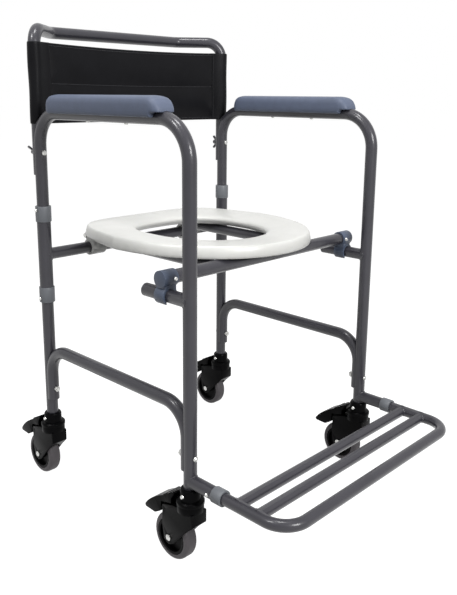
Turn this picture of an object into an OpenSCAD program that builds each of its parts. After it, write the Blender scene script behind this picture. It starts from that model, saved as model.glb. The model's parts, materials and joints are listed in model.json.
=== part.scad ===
// Shower commode chair: tubular frame on four braked casters, hinged ring seat, sling back,
// padded arms and a pull-out footrest. Millimetres, +Z up, the chair faces -Y.
// Left and right are the sitter's: left is +X.

/* [Frame] */
// Distance between the left and right leg axes
leg_spacing = 468; // [450:1:500]
// Distance between the front and rear leg axes
leg_depth = 395; // [380:1:430]
// Outer diameter of the frame tubes
tube_d = 22.2; // [21.6:0.1:22.6]
// Wall of the frame tubes
tube_wall = 1.5; // [1.2:0.1:2]
// Height of the arm tube axis
arm_z = 712; // [690:1:740]
// Bend radius at the front of the arm, on the tube axis
front_bend_r = 64; // [50:1:75]
// Bend radius at the rear of the arm, on the tube axis
rear_bend_r = 58; // [45:1:65]
// Height of the short stub behind each front leg
stub_z = 443; // [435:1:446]
// Length of the stub from the leg axis
stub_length = 100; // [90:1:110]
// Outer diameter of the stub
stub_d = 21.6; // [21:0.1:21.8]

/* [Rear frame] */
// Outer diameter of the joining sleeves on the rear legs
sleeve_d = 25.4; // [25:0.1:26]
// Lower end of the sleeves
sleeve_foot_z = 376; // [370:1:384]
// Length of the sleeves
sleeve_length = 154; // [146:1:160]
// Height of the rear cross tube
cross_z = 452.5; // [450:0.5:454]
// Outer diameter of the rear cross tube
cross_d = 22; // [21:0.1:22.4]
// Gap between the upright and the lower leg inside the sleeve
leg_gap = 40; // [30:1:60]
// Outer diameter of the plastic collars
collar_d = 28.8; // [28:0.1:31]
// Length of each collar
collar_length = 29; // [26:1:34]
// Lap of each collar over its sleeve
collar_lap = 15; // [13:1:17]
// How far the snap buttons stand beyond the sleeve's ends
button_rise = 6.5; // [5.5:0.5:8]

/* [Stretchers] */
// Height of the side stretchers
stretcher_z = 271; // [260:1:290]
// Bend radius of the stretchers, on the tube axis
stretcher_bend_r = 50; // [44:1:56]
// Height of the stretcher's lower ends
stretcher_foot_z = 168; // [160:1:175]
// Height of the stretcher bolts
stretcher_bolt_z = 191; // [186:1:200]
// How far the stretchers' ends are pressed in round the legs
stretcher_crimp = 16; // [14:1:17]

/* [Back] */
// Drop of the back posts' lower ends below the arm tube's axis
post_foot_drop = 111; // [98:1:116]
// How far the back posts stand behind the rear uprights
post_offset = 5; // [4:0.5:7]
// Height of the push bar's axis above the arm tube's axis
push_bar_rise = 145; // [130:1:165]
// How far the push bar stands behind the back posts
push_bar_reach = 67; // [55:1:80]
// Bend radius at the top of the posts
post_bend_r = 32; // [28:1:36]
// Bend radius where the push bar straightens
push_bar_bend_r = 28; // [22:1:34]
// Angle of the slanted arms of the push bar, from the chair's width
push_bar_angle = 42; // [38:1:50]
// Drop of the posts' pressed and solid ends below the arm tube's axis
post_press_drop = 7; // [0:1:10]
// Drop of the back frame's bolts below the arm tube's axis
back_bolt_drop = 71; // [66:1:80]
// Drop of the cover's lower edge below the arm tube's axis
cover_foot_drop = 20; // [4:1:24]
// Height of the back cover
cover_height = 142; // [130:1:144]
// Thickness of the cover's cloth round the posts
cover_skin = 2.4; // [2:0.1:4]
// Thickness of the cover's panel at its crown
cover_thickness = 14; // [10:1:18]
// Distance of the pocket seams from the post axes
cover_seam_inset = 24; // [20:1:30]
// How far the cover's upper edge dips in the middle
cover_dip = 4; // [0:0.5:8]

/* [Arm pads] */
// Width of an arm pad
pad_w = 45; // [40:1:50]
// Height of a pad above the arm tube's axis
pad_height = 32; // [28:1:38]
// Gap from the front leg axis to the pad's front end
pad_front_inset = 36; // [32:1:44]
// Gap from the rear leg axis to the pad's rear end
pad_rear_inset = 29; // [25:1:36]
// Gap from the front leg axis to the first pad screw
pad_screw_inset = 144; // [120:1:160]
// Spacing of the pad screws
pad_screw_pitch = 102; // [80:1:120]

/* [Seat] */
// Width of the seat ring
seat_w = 393; // [380:1:404]
// Depth of the seat ring from front to rear
seat_depth = 420; // [405:1:425]
// Gap from the front leg axis to the seat's front edge
seat_front_inset = 2; // [0:1:15]
// Height of the seat's underside
seat_foot_z = 481.5; // [481:0.5:484]
// Thickness of the seat at its crown
seat_thickness = 21.5; // [18:0.5:26]
// Width of the seat's opening
hole_w = 214; // [190:1:224]
// Depth of the seat's opening
hole_depth = 246; // [225:1:255]
// Gap from the seat's front edge to its opening
hole_inset = 86; // [76:1:95]
// Height of the seat hinge pins
hinge_z = 475; // [474.5:0.1:475.2]
// How far the hinge pins stand behind the rear cross tube's axis
hinge_offset = 7; // [5:0.5:9]

/* [Seat support] */
// Height of the front crossbar
crossbar_z = 469.5; // [468.5:0.1:470]
// Gap from the front leg axis back to the crossbar
crossbar_inset = 55; // [50:1:62]
// Outer diameter of the crossbar
crossbar_d = 22.2; // [21:0.1:22.4]
// Width between the outer faces of the crossbar's clips
clip_span = 492; // [486:1:500]
// Length of each clip along the crossbar
clip_length = 28; // [24:1:32]
// Outer diameter of the clips
clip_d = 27.4; // [26.5:0.1:29]
// Width of a clip along the stub
clip_w = 22; // [18:1:26]
// Distance of the seat rails from the middle of the chair
rail_x = 121; // [118:1:126]
// Outer diameter of the seat rails
rail_d = 20; // [18:0.1:20]
// Width of the hinge brackets
bracket_w = 32; // [28:1:36]
// Outer diameter of the bracket's ring round the rear cross tube
bracket_d = 31; // [29:0.5:33]
// Length of the bracket's block along the seat rail
bracket_length = 36; // [32:1:42]
// Width of the seat's hinge lugs
lug_w = 10; // [8:0.5:12]
// Diameter of the hinge eyes
eye_d = 12.4; // [11:0.1:12.4]
// Diameter of the seat's rubber bumpers
bumper_d = 16; // [14:1:18]
// Gap from the front leg axis to the front bumpers
bumper_inset = 100; // [95:1:110]
// Gap from the rear leg axis to the rear bumpers
bumper_rear_inset = 95; // [85:1:110]
// Length of the plugs in the stub ends
plug_length = 12; // [8:1:16]
// Thickness of the plug heads
plug_head = 2; // [1.5:0.5:3]

/* [Footrest] */
// Height of the footrest tubes
footrest_z = 150; // [148:1:156]
// Gap from the front leg axis to the footrest's front bar
footrest_reach = 198; // [180:1:220]
// Outer diameter of the footrest tubes
footrest_d = 19; // [18.6:0.1:19.1]
// Bend radius of the footrest's front corners
footrest_bend_r = 42; // [36:1:50]
// Gap from the front leg axis to the footrest's first cross bar
foot_bar_inset = 101; // [98:1:108]
// Spacing of the footrest's cross bars
foot_bar_pitch = 40; // [34:1:42]
// Outer diameter of the footrest's cross bars
foot_bar_d = 18; // [17:0.1:18.2]
// Outer diameter of the footrest sockets
socket_d = 21.8; // [21.6:0.1:21.9]
// Wall of the footrest sockets
socket_wall = 1.3; // [1.2:0.1:1.3]
// Length of the footrest sockets from the leg axis
socket_length = 68; // [64:1:72]
// How far the footrest can be pulled out
footrest_travel = 25; // [20:1:26]
// Gap from the front leg axis to the footrest tube's inner end
footrest_tail = 14; // [13:0.5:15]
// Gap from the front leg axis to the footrest buttons
foot_button_inset = 48; // [46:1:50]
// Outer diameter of the footrest collars
foot_collar_d = 26; // [25:0.1:28]
// Length of the footrest collars
foot_collar_length = 20; // [19:1:24]
// Lap of the footrest collars over the sockets
foot_collar_lap = 12; // [11:1:14]

/* [Casters] */
// Diameter of the caster wheels
wheel_d = 80; // [76:1:81]
// Width of the caster tyres
tyre_w = 24; // [20:0.5:24.5]
// Thickness of the caster tyres
tyre_thickness = 9; // [7:0.5:11]
// How far the wheel axle trails behind the leg axis
caster_trail = 35; // [34:0.5:36]
// Width of the caster forks
fork_w = 32; // [31:0.5:34]
// Height of the swivel joint
swivel_z = 112; // [110:0.5:113]
// Upper end of the caster sockets
caster_top_z = 138; // [134:1:138]
// How far the brake pedals reach behind the leg axis
pedal_reach = 94; // [92:1:97]
// Width of the brake pedals
pedal_w = 32; // [30:1:34]
// Diameter of the pedal's pivot
pivot_d = 5; // [4:0.5:6]
// Diameter of the pedal's hub
pedal_hub_d = 13; // [12:0.5:14]
// Gap between the wheel and the fork
wheel_gap = 2.5; // [2:0.5:3]
// Gap between the tyre's side and the fork's cheek
cheek_gap = 0.5; // [0.4:0.1:0.8]
// Diameter of the fork's axle bosses
fork_boss_d = 23; // [20:1:26]
// Diameter of the fork's drum
fork_top_d = 44; // [42:1:45]
// Height of the fork's drum
fork_top_t = 12; // [11:0.5:14]
// Gap between the fork's top and the caster socket
swivel_gap = 0.4; // [0.3:0.1:0.6]
// Diameter of the caster socket's flange
flange_d = 46; // [45:0.5:47]
// Height of the caster socket's flange
flange_h = 5; // [4:0.5:6]
// Height of the chamfer on the caster socket's flange
flange_round = 2.5; // [2:0.5:3]
// Gap between the pedal and the caster socket
pedal_gap = 1; // [0.8:0.1:1.4]
// Thickness of the caster socket's floor
socket_floor = 12; // [11:0.5:13]
// Diameter of the caster socket's cup
lip_d = 33; // [32:0.2:34]
// Height of the chamfer at the cup's top
lip_h = 3; // [2:0.5:4]
// Diameter of the kingpins
kingpin_d = 10; // [9:0.5:11]
// Diameter of the kingpin heads
kingpin_head_d = 18; // [16:0.5:18]
// Height of the kingpin heads
kingpin_head_h = 5; // [4:0.5:6]
// Drop of the kingpin heads below the swivel joint
kingpin_drop = 12; // [11:0.5:13]
// Drop of the socket screws below the sockets' upper ends
socket_screw_drop = 10; // [9:0.5:11]
// Diameter of the wheel hubs
wheel_hub_d = 22; // [20:1:24]
// Thickness of the wheel webs
wheel_web = 8; // [6:0.5:10]
// Thickness of the wheel rims
wheel_rim = 5; // [4:0.5:6]

/* [Fasteners] */
// Diameter of the bolts through the tubes
bolt_d = 6; // [5:0.5:7]
// Diameter of the bolt heads
bolt_head_d = 9; // [8:0.5:11]
// Height of the bolt heads
bolt_head_h = 3.6; // [3:0.2:4.4]
// Width of the nuts across their corners
nut_d = 11.5; // [11:0.5:13]
// Height of the nuts
nut_h = 5; // [4:0.5:6]
// Length of thread beyond the nuts
bolt_tail = 2; // [1:0.5:3]
// Span of the wing nuts
wing_span = 28; // [24:1:32]
// Height of the wings
wing_h = 12; // [10:0.5:14]
// Thickness of the wings
wing_t = 3.2; // [2.6:0.2:4]
// Turn of the left wing nut at rest, in degrees
wing_turn_left = 90; // [0:5:180]
// Turn of the right wing nut at rest, in degrees
wing_turn_right = 50; // [0:5:180]
// Diameter of the wing nut hubs
wing_hub_d = 10.5; // [9.5:0.5:12]
// Length of the wing nut hubs
wing_hub_h = 9; // [7:0.5:11]
// Diameter of the caster axles
axle_d = 8; // [7:0.5:9]
// Diameter of the caster axles' heads
axle_head_d = 10.5; // [10:0.5:12]
// Width of the caster axles' nuts across their corners
axle_nut_d = 13.5; // [13:0.5:15]
// Diameter of the snap buttons
button_d = 6; // [5:0.5:7]
// How far the snap buttons stand proud
button_proud = 2.6; // [2.2:0.1:3.5]
// Width of the snap buttons' spring leaves
leaf_w = 7; // [6:0.5:8]
// Length of the spring leaves
leaf_length = 26; // [20:1:30]
// Thickness of the spring leaves
leaf_t = 1; // [0.8:0.1:1.2]
// Diameter of the small screws
screw_d = 4; // [3:0.5:4.5]
// Diameter of the small screw heads
screw_head_d = 7; // [6.5:0.1:8]
// Height of the small screw heads
screw_head_h = 2.2; // [1.8:0.1:2.8]
// Depth of the arm pad screws in the pads
pad_screw_depth = 9; // [7:0.5:10]
// Diameter of the seat hinge pins
pin_d = 6; // [5:0.5:6]
// Diameter of the hinge pin heads
pin_head_d = 9; // [8:0.5:10]
// Height of the hinge pin heads
pin_head_h = 3.5; // [3:0.5:4]

/* [Fits] */
// Gap round tubes that slide in each other
slip_fit = 0.1; // [0.05:0.01:0.1]
// Gap round pins that turn
run_fit = 0.06; // [0.03:0.01:0.1]
// Gap round fixed pieces
seat_fit = 0.05; // [0.02:0.01:0.08]
// Gap beside moving pieces
side_gap = 0.3; // [0.2:0.1:0.5]
// How deep welded ends bite into the tube that they join
weld_bite = 0.4; // [0.2:0.1:0.8]

/* [Hidden] */
$fn = 48;
left = 1;
right = -1;
front = 0;
rear = 1;
// Reach of the whole chair ahead of the front legs and behind the rear legs
front_reach = footrest_reach + footrest_d / 2;
rear_reach = max(pedal_reach, post_offset + push_bar_reach + tube_d / 2);
front_y = front_reach - (front_reach + leg_depth + rear_reach) / 2;
rear_y = front_y + leg_depth;
leg_x = leg_spacing / 2;
over = tube_wall;
// Legs, sleeves and stretchers
sleeve_top_z = sleeve_foot_z + sleeve_length;
leg_foot_z = swivel_z + socket_floor;
upright_foot_z = cross_z + leg_gap / 2;
rear_leg_top_z = cross_z - leg_gap / 2;
sleeve_wall = (sleeve_d - tube_d) / 2 - slip_fit;
upper_button_z = sleeve_top_z + button_rise;
lower_button_z = sleeve_foot_z - button_rise;
stretcher_inset = tube_d + 2 * slip_fit - stretcher_crimp;
leaf_x = sqrt(pow(tube_d / 2 - tube_wall, 2) - pow(leaf_w / 2, 2)) - side_gap;
foot_leaf_x = sqrt(pow(footrest_d / 2 - tube_wall, 2) - pow(leaf_w / 2, 2)) - side_gap;
// Back
post_foot_z = arm_z - post_foot_drop;
push_bar_z = arm_z + push_bar_rise;
post_press_z = arm_z - post_press_drop;
back_bolt_z = arm_z - back_bolt_drop;
cover_foot_z = arm_z - cover_foot_drop;
cover_top_z = cover_foot_z + cover_height;
post_y = rear_y + post_offset;
slant_run = (push_bar_reach - push_bar_bend_r * (1 - cos(push_bar_angle))) / sin(push_bar_angle);
bar_half = leg_x - slant_run * cos(push_bar_angle) - push_bar_bend_r * sin(push_bar_angle);
pocket_r = tube_d / 2 + side_gap + cover_skin;
// Seat
hinge_y = rear_y + hinge_offset;
crossbar_y = front_y + crossbar_inset;
bracket_x = rail_x - bracket_w / 2;
clip_x = clip_span / 2;
seat_y = front_y + seat_front_inset;
// Casters
fork_top_z = swivel_z - swivel_gap;
cavity_w = tyre_w + 2 * cheek_gap;
axle_z = wheel_d / 2;
core_d = wheel_d - 2 * tyre_thickness;
pedal_hub_w = cavity_w - 2 * side_gap;
// Front of the pedal, clear of the cup, its screw and its flange
pedal_front_y = lip_d / 2 + 2 * screw_head_h + pedal_gap;
pedal_front_z = swivel_z + flange_h + 2 * flange_round + pedal_gap;
pedal_foot_y = flange_d / 2 + 2 * flange_round + pedal_gap;
// Pedal pivot and side shapes, as shares of the pedal's reach and of the swivel's height
pivot_share = [0.479, 0.786];
fork_shares = [[-0.213, 0.911], [-0.213, 0.714], [-0.043, 0.580], [0.255, 0.295], [0.372, 0.246], [0.489, 0.295],
    [0.543, 0.536], [0.532, 0.839], [0.255, 0.911]];
pedal_shares = [[0.021, 1.196], [0.213, 1.121], [0.255, 1.103], [0.266, 1.113], [0.309, 1.095], [0.319, 1.077],
    [0.351, 1.062], [0.362, 1.073], [0.404, 1.054], [0.415, 1.036], [0.447, 1.022], [0.457, 1.033],
    [0.500, 1.013], [0.511, 0.994], [0.617, 0.945], [0.745, 0.884], [0.851, 0.817], [0.926, 0.759],
    [0.989, 0.696], [1.000, 0.670], [0.979, 0.643], [0.734, 0.634], [0.617, 0.692], [0.574, 0.719],
    [0.569, 0.875], [0.404, 0.911], [0.021, 0.973]];
hub_shares = [[0.415, 0.929], [0.553, 0.902], [0.543, 0.786], [0.415, 0.786]];
slot_shares = [[0.362, 0.661], [0.362, 1.000], [0.745, 1.000], [0.745, 0.661]];
pivot = caster_point(pivot_share);
// Seat ring sections: 0 for the opening's edge and 1 for the outer edge, the distance from that edge and
// the height, both as shares of the seat's thickness
seat_section_shares = [[0, 0.45, 0], [0, 0.1, 0.33], [0, 0, 0.44], [0, 0.02, 0.6], [0, 0.12, 0.73], [0, 0.32, 0.82],
    [0, 0.8, 0.89], [0, 1.7, 0.96], [1, 1.5, 1], [1, 0.85, 0.97], [1, 0.42, 0.88], [1, 0.14, 0.7], [1, 0.02, 0.48],
    [1, 0.02, 0.27], [1, 0.12, 0.1], [1, 0.32, 0]];
// Parts of the seat's and the opening's depth that lie ahead of their widest point
seat_front_share = 0.565;
hole_front_share = 0.55;
seat_steps = 72;
// Arm pad: end shapes as shares of the pad's length, width and height
pad_end_shares = [[0, 0.6, 0.24], [0.006, 0.7, 0.44], [0.02, 0.83, 0.67], [0.04, 0.94, 0.86], [0.065, 0.99, 0.96],
    [0.095, 1, 1], [0.3, 1, 1], [0.5, 1, 1], [0.7, 1, 1], [0.905, 1, 1], [0.935, 0.99, 0.96],
    [0.96, 0.94, 0.86], [0.98, 0.83, 0.67], [0.994, 0.7, 0.44], [1, 0.6, 0.24]];
pad_section_shares = [[0.84, 0], [0.94, 0.08], [0.99, 0.25], [1, 0.42], [0.985, 0.62], [0.93, 0.79], [0.8, 0.91],
    [0.58, 0.965], [0.3, 0.99], [0, 1]];
// Back cover: stations across and up the cover, with the share of the panel's fullness at each
cover_up_shares = [[0, 0.3], [0.02, 0.55], [0.07, 0.82], [0.2, 1], [0.36, 0.96], [0.45, 0.72], [0.49, 0.4], [0.51, 0.4],
    [0.55, 0.72], [0.64, 0.96], [0.8, 1], [0.93, 0.82], [0.98, 0.55], [1, 0.3]];
cover_across_shares = [0, 0.2, 0.4, 0.6, 0.75, 0.86, 0.93, 0.97, 1];
pocket_steps = 11;

function caster_point(share) = [share[0] * pedal_reach, share[1] * swivel_z];
function caster_points(shares) = [for (share = shares) caster_point(share)];
function leg_y(end) = end == front ? front_y : rear_y;
function power(value, exponent) = (value < 0 ? -1 : 1) * pow(abs(value), exponent);
// Rounded outline of the seat or its opening, with its own roundness ahead of and behind the widest point
function oval(turn, half_w, ahead, behind, round_ahead, round_behind) =
    let (depth = sin(turn) < 0 ? ahead : behind)
    let (roundness = sin(turn) < 0 ? round_ahead : round_behind)
    [half_w * power(cos(turn), 2 / roundness), depth * power(sin(turn), 2 / roundness)];
function seat_edge(turn) = [0, seat_y + seat_front_share * seat_depth]
    + oval(turn, seat_w / 2, seat_front_share * seat_depth, (1 - seat_front_share) * seat_depth, 2.05, 2.7);
function hole_edge(turn) = [0, seat_y + hole_inset + hole_front_share * hole_depth]
    + oval(turn, hole_w / 2, hole_front_share * hole_depth, (1 - hole_front_share) * hole_depth, 2.15, 2.9);
function seat_point(turn, share) =
    let (inner = hole_edge(turn), outer = seat_edge(turn))
    let (way = (outer - inner) / norm(outer - inner))
    let (flat = share[0] == 0 ? inner + way * share[1] * seat_thickness : outer - way * share[1] * seat_thickness)
    [flat[0], flat[1], seat_foot_z + share[2] * seat_thickness];
// Faces of a grid of points: rows around or along the form, columns round its closed section
function wall_faces(rows, columns, closed) = [for (i = [0:rows - (closed ? 1 : 2)]) for (j = [0:columns - 1])
    let (a = i * columns + j, b = i * columns + (j + 1) % columns)
    let (c = ((i + 1) % rows) * columns + (j + 1) % columns, d = ((i + 1) % rows) * columns + j)
    each [[a, b, c], [a, c, d]]];
function cap_faces(start, columns, flip) = [for (j = [0:columns / 2 - 2])
    let (a = start + j, b = start + j + 1, c = start + columns - 2 - j, d = start + columns - 1 - j)
    each flip ? [[a, b, c], [a, c, d]] : [[a, c, b], [a, d, c]]];

module section(d, wall) {
    if (wall > 0) {
        difference() {
            circle(d = d);
            circle(d = d - 2 * wall);
        }
    } else {
        circle(d = d);
    }
}

// Straight tube from one point to another, solid where the wall is 0
module straight(start, stop, d, wall) {
    way = stop - start;
    translate(start)
        rotate([0, acos(way[2] / norm(way)), atan2(way[1], way[0])])
            linear_extrude(height = norm(way))
                section(d, wall);
}

module bar(start, stop, d) {
    way = stop - start;
    translate(start)
        rotate([0, acos(way[2] / norm(way)), atan2(way[1], way[0])])
            cylinder(d = d, h = norm(way));
}

module elbow(r, angle, d, wall) {
    rotate_extrude(angle = angle)
        translate([r, 0])
            section(d, wall);
}

// Stand a shape drawn in depth and height across the chair
module across(width) {
    rotate([90, 0, 90])
        linear_extrude(height = width, center = true)
            children();
}

module both_sides() {
    for (side = [left, right])
        translate([side * leg_x, 0, 0])
            children();
}

// Front leg, arm and rear upright as one bent tube
module side_path(d, wall) {
    straight([0, front_y, leg_foot_z], [0, front_y, arm_z - front_bend_r], d, wall);
    translate([0, front_y + front_bend_r, arm_z - front_bend_r])
        rotate([90, 0, 90])
            rotate([0, 0, 90])
                elbow(front_bend_r, 90, d, wall);
    straight([0, front_y + front_bend_r, arm_z], [0, rear_y - rear_bend_r, arm_z], d, wall);
    translate([0, rear_y - rear_bend_r, arm_z - rear_bend_r])
        rotate([90, 0, 90])
            elbow(rear_bend_r, 90, d, wall);
    straight([0, rear_y, upright_foot_z], [0, rear_y, arm_z - rear_bend_r], d, wall);
}

// Round hole along the chair's depth, through everything near one leg
module depth_hole(y, z, d) {
    bar([0, y - 2 * tube_d, z], [0, y + 2 * tube_d, z], d);
}

// Round hole from a leg's axis outward to one side
module side_hole(side, y, z, d) {
    bar([0, y, z], [side * collar_d, y, z], d);
}

module side_frame(side) {
    color("dimgray")
        translate([side * leg_x, 0, 0])
            difference() {
                union() {
                    side_path(tube_d, tube_wall);
                    difference() {
                        straight([0, front_y, stub_z], [0, front_y + stub_length, stub_z], stub_d, tube_wall);
                        bar([0, front_y, stub_z - stub_d], [0, front_y, stub_z + stub_d], tube_d - 2 * weld_bite);
                    }
                    difference() {
                        straight([0, front_y - socket_length, footrest_z], [0, front_y, footrest_z], socket_d, socket_wall);
                        bar([0, front_y, footrest_z - socket_d], [0, front_y, footrest_z + socket_d],
                            tube_d - 2 * weld_bite);
                    }
                }
                depth_hole(front_y, stretcher_bolt_z, bolt_d + 2 * seat_fit);
                depth_hole(rear_y, back_bolt_z, bolt_d + 2 * seat_fit);
                side_hole(side, rear_y, upper_button_z, button_d + 2 * run_fit);
                side_hole(side, front_y - foot_button_inset, footrest_z, button_d + 2 * run_fit);
                side_hole(right, front_y, caster_top_z - socket_screw_drop, screw_d + 2 * seat_fit);
                for (i = [0, 1])
                    translate([0, front_y + pad_screw_inset + i * pad_screw_pitch, arm_z - tube_d])
                        cylinder(d = screw_d + 2 * seat_fit, h = 2 * tube_d);
            }
}

module rear_leg(side) {
    color("dimgray")
        translate([side * leg_x, 0, 0])
            difference() {
                straight([0, rear_y, leg_foot_z], [0, rear_y, rear_leg_top_z], tube_d, tube_wall);
                depth_hole(rear_y, stretcher_bolt_z, bolt_d + 2 * seat_fit);
                side_hole(side, rear_y, lower_button_z, button_d + 2 * run_fit);
                side_hole(right, rear_y, caster_top_z - socket_screw_drop, screw_d + 2 * seat_fit);
            }
}

module rear_frame() {
    color("dimgray") {
        both_sides()
            straight([0, rear_y, sleeve_foot_z], [0, rear_y, sleeve_top_z], sleeve_d, sleeve_wall);
        difference() {
            straight([-leg_x, rear_y, cross_z], [leg_x, rear_y, cross_z], cross_d, tube_wall);
            both_sides()
                bar([0, rear_y, cross_z - sleeve_d], [0, rear_y, cross_z + sleeve_d], sleeve_d - 2 * weld_bite);
        }
    }
}

// Collar over a sleeve's end: wide bore over the sleeve below, narrow bore over the tube above
module collar(d, length, lap, outer_d, inner_d, inner_fit) {
    difference() {
        translate([0, 0, -lap])
            cylinder(d = d, h = length);
        translate([0, 0, -lap - over])
            cylinder(d = outer_d + 2 * seat_fit, h = lap + over);
        translate([0, 0, -over])
            cylinder(d = inner_d + 2 * inner_fit, h = length - lap + 2 * over);
    }
}

module rear_collars() {
    color("slategray")
        for (side = [left, right])
            translate([side * leg_x, 0, 0]) {
                difference() {
                    translate([0, rear_y, sleeve_top_z])
                        collar(collar_d, collar_length, collar_lap, sleeve_d, tube_d, seat_fit);
                    side_hole(side, rear_y, upper_button_z, button_d + 2 * run_fit);
                }
                difference() {
                    translate([0, rear_y, sleeve_foot_z])
                        rotate([180, 0, 0])
                            collar(collar_d, collar_length, collar_lap, sleeve_d, tube_d, seat_fit);
                    side_hole(side, rear_y, lower_button_z, button_d + 2 * run_fit);
                }
            }
}

module stretcher_run(d) {
    start_y = front_y + stretcher_inset;
    stop_y = rear_y - stretcher_inset;
    bend_z = stretcher_z - stretcher_bend_r;
    straight([0, start_y, stretcher_foot_z], [0, start_y, bend_z], d, 0);
    translate([0, start_y + stretcher_bend_r, bend_z])
        rotate([90, 0, 90])
            rotate([0, 0, 90])
                elbow(stretcher_bend_r, 90, d, 0);
    straight([0, start_y + stretcher_bend_r, stretcher_z], [0, stop_y - stretcher_bend_r, stretcher_z], d, 0);
    translate([0, stop_y - stretcher_bend_r, bend_z])
        rotate([90, 0, 90])
            elbow(stretcher_bend_r, 90, d, 0);
    straight([0, stop_y, stretcher_foot_z], [0, stop_y, bend_z], d, 0);
}

// Rods on the axes of the two legs that a stretcher's ends are pressed round
module leg_rods(d) {
    for (y = [front_y, rear_y])
        straight([0, y, stretcher_foot_z - tube_d], [0, y, stretcher_z + tube_d], d, 0);
}

module stretcher(side) {
    color("dimgray")
        translate([side * leg_x, 0, 0])
            difference() {
                stretcher_run(tube_d);
                difference() {
                    stretcher_run(tube_d - 2 * tube_wall);
                    leg_rods(tube_d + 4 * slip_fit + 2 * tube_wall);
                }
                leg_rods(tube_d + 4 * slip_fit);
                depth_hole(front_y + stretcher_inset, stretcher_bolt_z, bolt_d + 2 * seat_fit);
                depth_hole(rear_y - stretcher_inset, stretcher_bolt_z, bolt_d + 2 * seat_fit);
            }
}

module bolt(d, length, head_d, head_h) {
    rotate([-90, 0, 0]) {
        cylinder(d = d, h = length);
        translate([0, 0, -head_h / 2])
            cylinder(d = head_d, h = head_h / 2);
        translate([0, 0, -head_h])
            cylinder(d1 = head_d / 2, d2 = head_d, h = head_h / 2);
    }
}

module nut(d, bore) {
    rotate([-90, 0, 0])
        difference() {
            cylinder(d = d, h = nut_h, $fn = 6);
            translate([0, 0, -over])
                cylinder(d = bore + 2 * seat_fit, h = nut_h + 2 * over);
        }
}

module stretcher_bolts() {
    reach = tube_d + stretcher_inset;
    color("silver")
        both_sides() {
            translate([0, front_y - tube_d / 2, stretcher_bolt_z]) {
                bolt(bolt_d, reach + nut_h + bolt_tail, bolt_head_d, bolt_head_h);
                translate([0, reach, 0])
                    nut(nut_d, bolt_d);
            }
            translate([0, rear_y + tube_d / 2, stretcher_bolt_z])
                rotate([0, 0, 180]) {
                    bolt(bolt_d, reach + nut_h + bolt_tail, bolt_head_d, bolt_head_h);
                    translate([0, reach, 0])
                        nut(nut_d, bolt_d);
                }
        }
}

// Solid run of one back post from the given height, with its slanted arm
module post_run(d, foot_z) {
    bend_z = push_bar_z - post_bend_r;
    translate([-leg_x, post_y, bend_z])
        rotate([0, 0, push_bar_angle]) {
            straight([0, 0, foot_z - bend_z], [0, 0, 0], d, 0);
            translate([post_bend_r, 0, 0])
                rotate([90, 0, 0])
                    rotate([0, 0, 90])
                        elbow(post_bend_r, 90, d, 0);
            straight([post_bend_r, 0, post_bend_r], [slant_run - seat_fit, 0, post_bend_r], d, 0);
        }
}

module post_runs(d, foot_z) {
    post_run(d, foot_z);
    mirror([1, 0, 0])
        post_run(d, foot_z);
}

module push_bar(d) {
    bar_y = post_y + push_bar_reach;
    straight([-bar_half, bar_y, push_bar_z], [bar_half, bar_y, push_bar_z], d, 0);
    for (flip = [0, 1])
        mirror([flip, 0, 0])
            translate([-bar_half, bar_y - push_bar_bend_r, push_bar_z])
                rotate([0, 0, 90])
                    elbow(push_bar_bend_r, push_bar_angle, d, 0);
}

// Short solid plug that joins a slanted arm to the push bar
module push_bar_spigot() {
    translate([-leg_x, post_y, push_bar_z])
        rotate([0, 0, push_bar_angle])
            bar([slant_run - tube_d / 2, 0, 0], [slant_run + tube_wall, 0, 0], tube_d - tube_wall);
}

// The posts are solid where they are pressed against the uprights, and hollow above
module back_frame() {
    color("dimgray")
        union() {
            difference() {
                post_runs(tube_d, post_foot_z);
                post_runs(tube_d - 2 * tube_wall, post_press_z);
                both_sides() {
                    side_path(tube_d + 2 * slip_fit, 0);
                    depth_hole(rear_y, back_bolt_z, bolt_d + 2 * seat_fit);
                }
            }
            difference() {
                push_bar(tube_d);
                push_bar(tube_d - 2 * tube_wall);
            }
            push_bar_spigot();
            mirror([1, 0, 0])
                push_bar_spigot();
        }
}

// Half thickness of the cover's panel at a share of the way out to the pocket seam and a share of its fullness
function panel_half(share, full) = cover_skin
    + (cover_thickness / 2 - cover_skin) * full * (1 - 0.75 * pow(share, 8));
function cover_outline(full, share_z) =
    let (seam = leg_x - cover_seam_inset, rise = cover_top_z - cover_foot_z)
    let (start = 180 - asin(panel_half(1, full) / pocket_r))
    let (dip = max(0, share_z - 0.9) * 10 * cover_dip)
    let (half = concat(
        [for (share = cover_across_shares) [share * seam, panel_half(share, full), share]],
        [for (i = [0:pocket_steps - 1]) let (turn = start - start * i / pocket_steps)
            [leg_x + pocket_r * cos(turn), pocket_r * sin(turn), 1]]))
    let (count = len(half))
    let (upper = concat([for (i = [count - 1:-1:1]) [-half[i][0], half[i][1], half[i][2]]], half))
    [for (p = concat(upper, [for (i = [len(upper) - 1:-1:0]) [upper[i][0], -upper[i][1], upper[i][2]]]))
        [p[0], post_y + p[1], cover_foot_z + share_z * rise - dip * (1 - pow(p[2], 2))]];

module back_cover() {
    outlines = [for (row = cover_up_shares) cover_outline(row[1], row[0])];
    rows = len(outlines);
    columns = len(outlines[0]);
    faces = concat(wall_faces(rows, columns, false), cap_faces(0, columns, true),
        cap_faces((rows - 1) * columns, columns, false));
    color("black")
        difference() {
            polyhedron(points = [for (row = outlines) each row], faces = faces);
            post_runs(tube_d + 2 * side_gap, post_foot_z);
            both_sides()
                side_path(tube_d + 2 * side_gap, 0);
        }
}

module back_bolts() {
    color("silver")
        both_sides()
            translate([0, rear_y - tube_d / 2, back_bolt_z])
                bolt(bolt_d, tube_d + post_offset + wing_hub_h + bolt_tail + side_gap, bolt_head_d, bolt_head_h);
}

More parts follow.
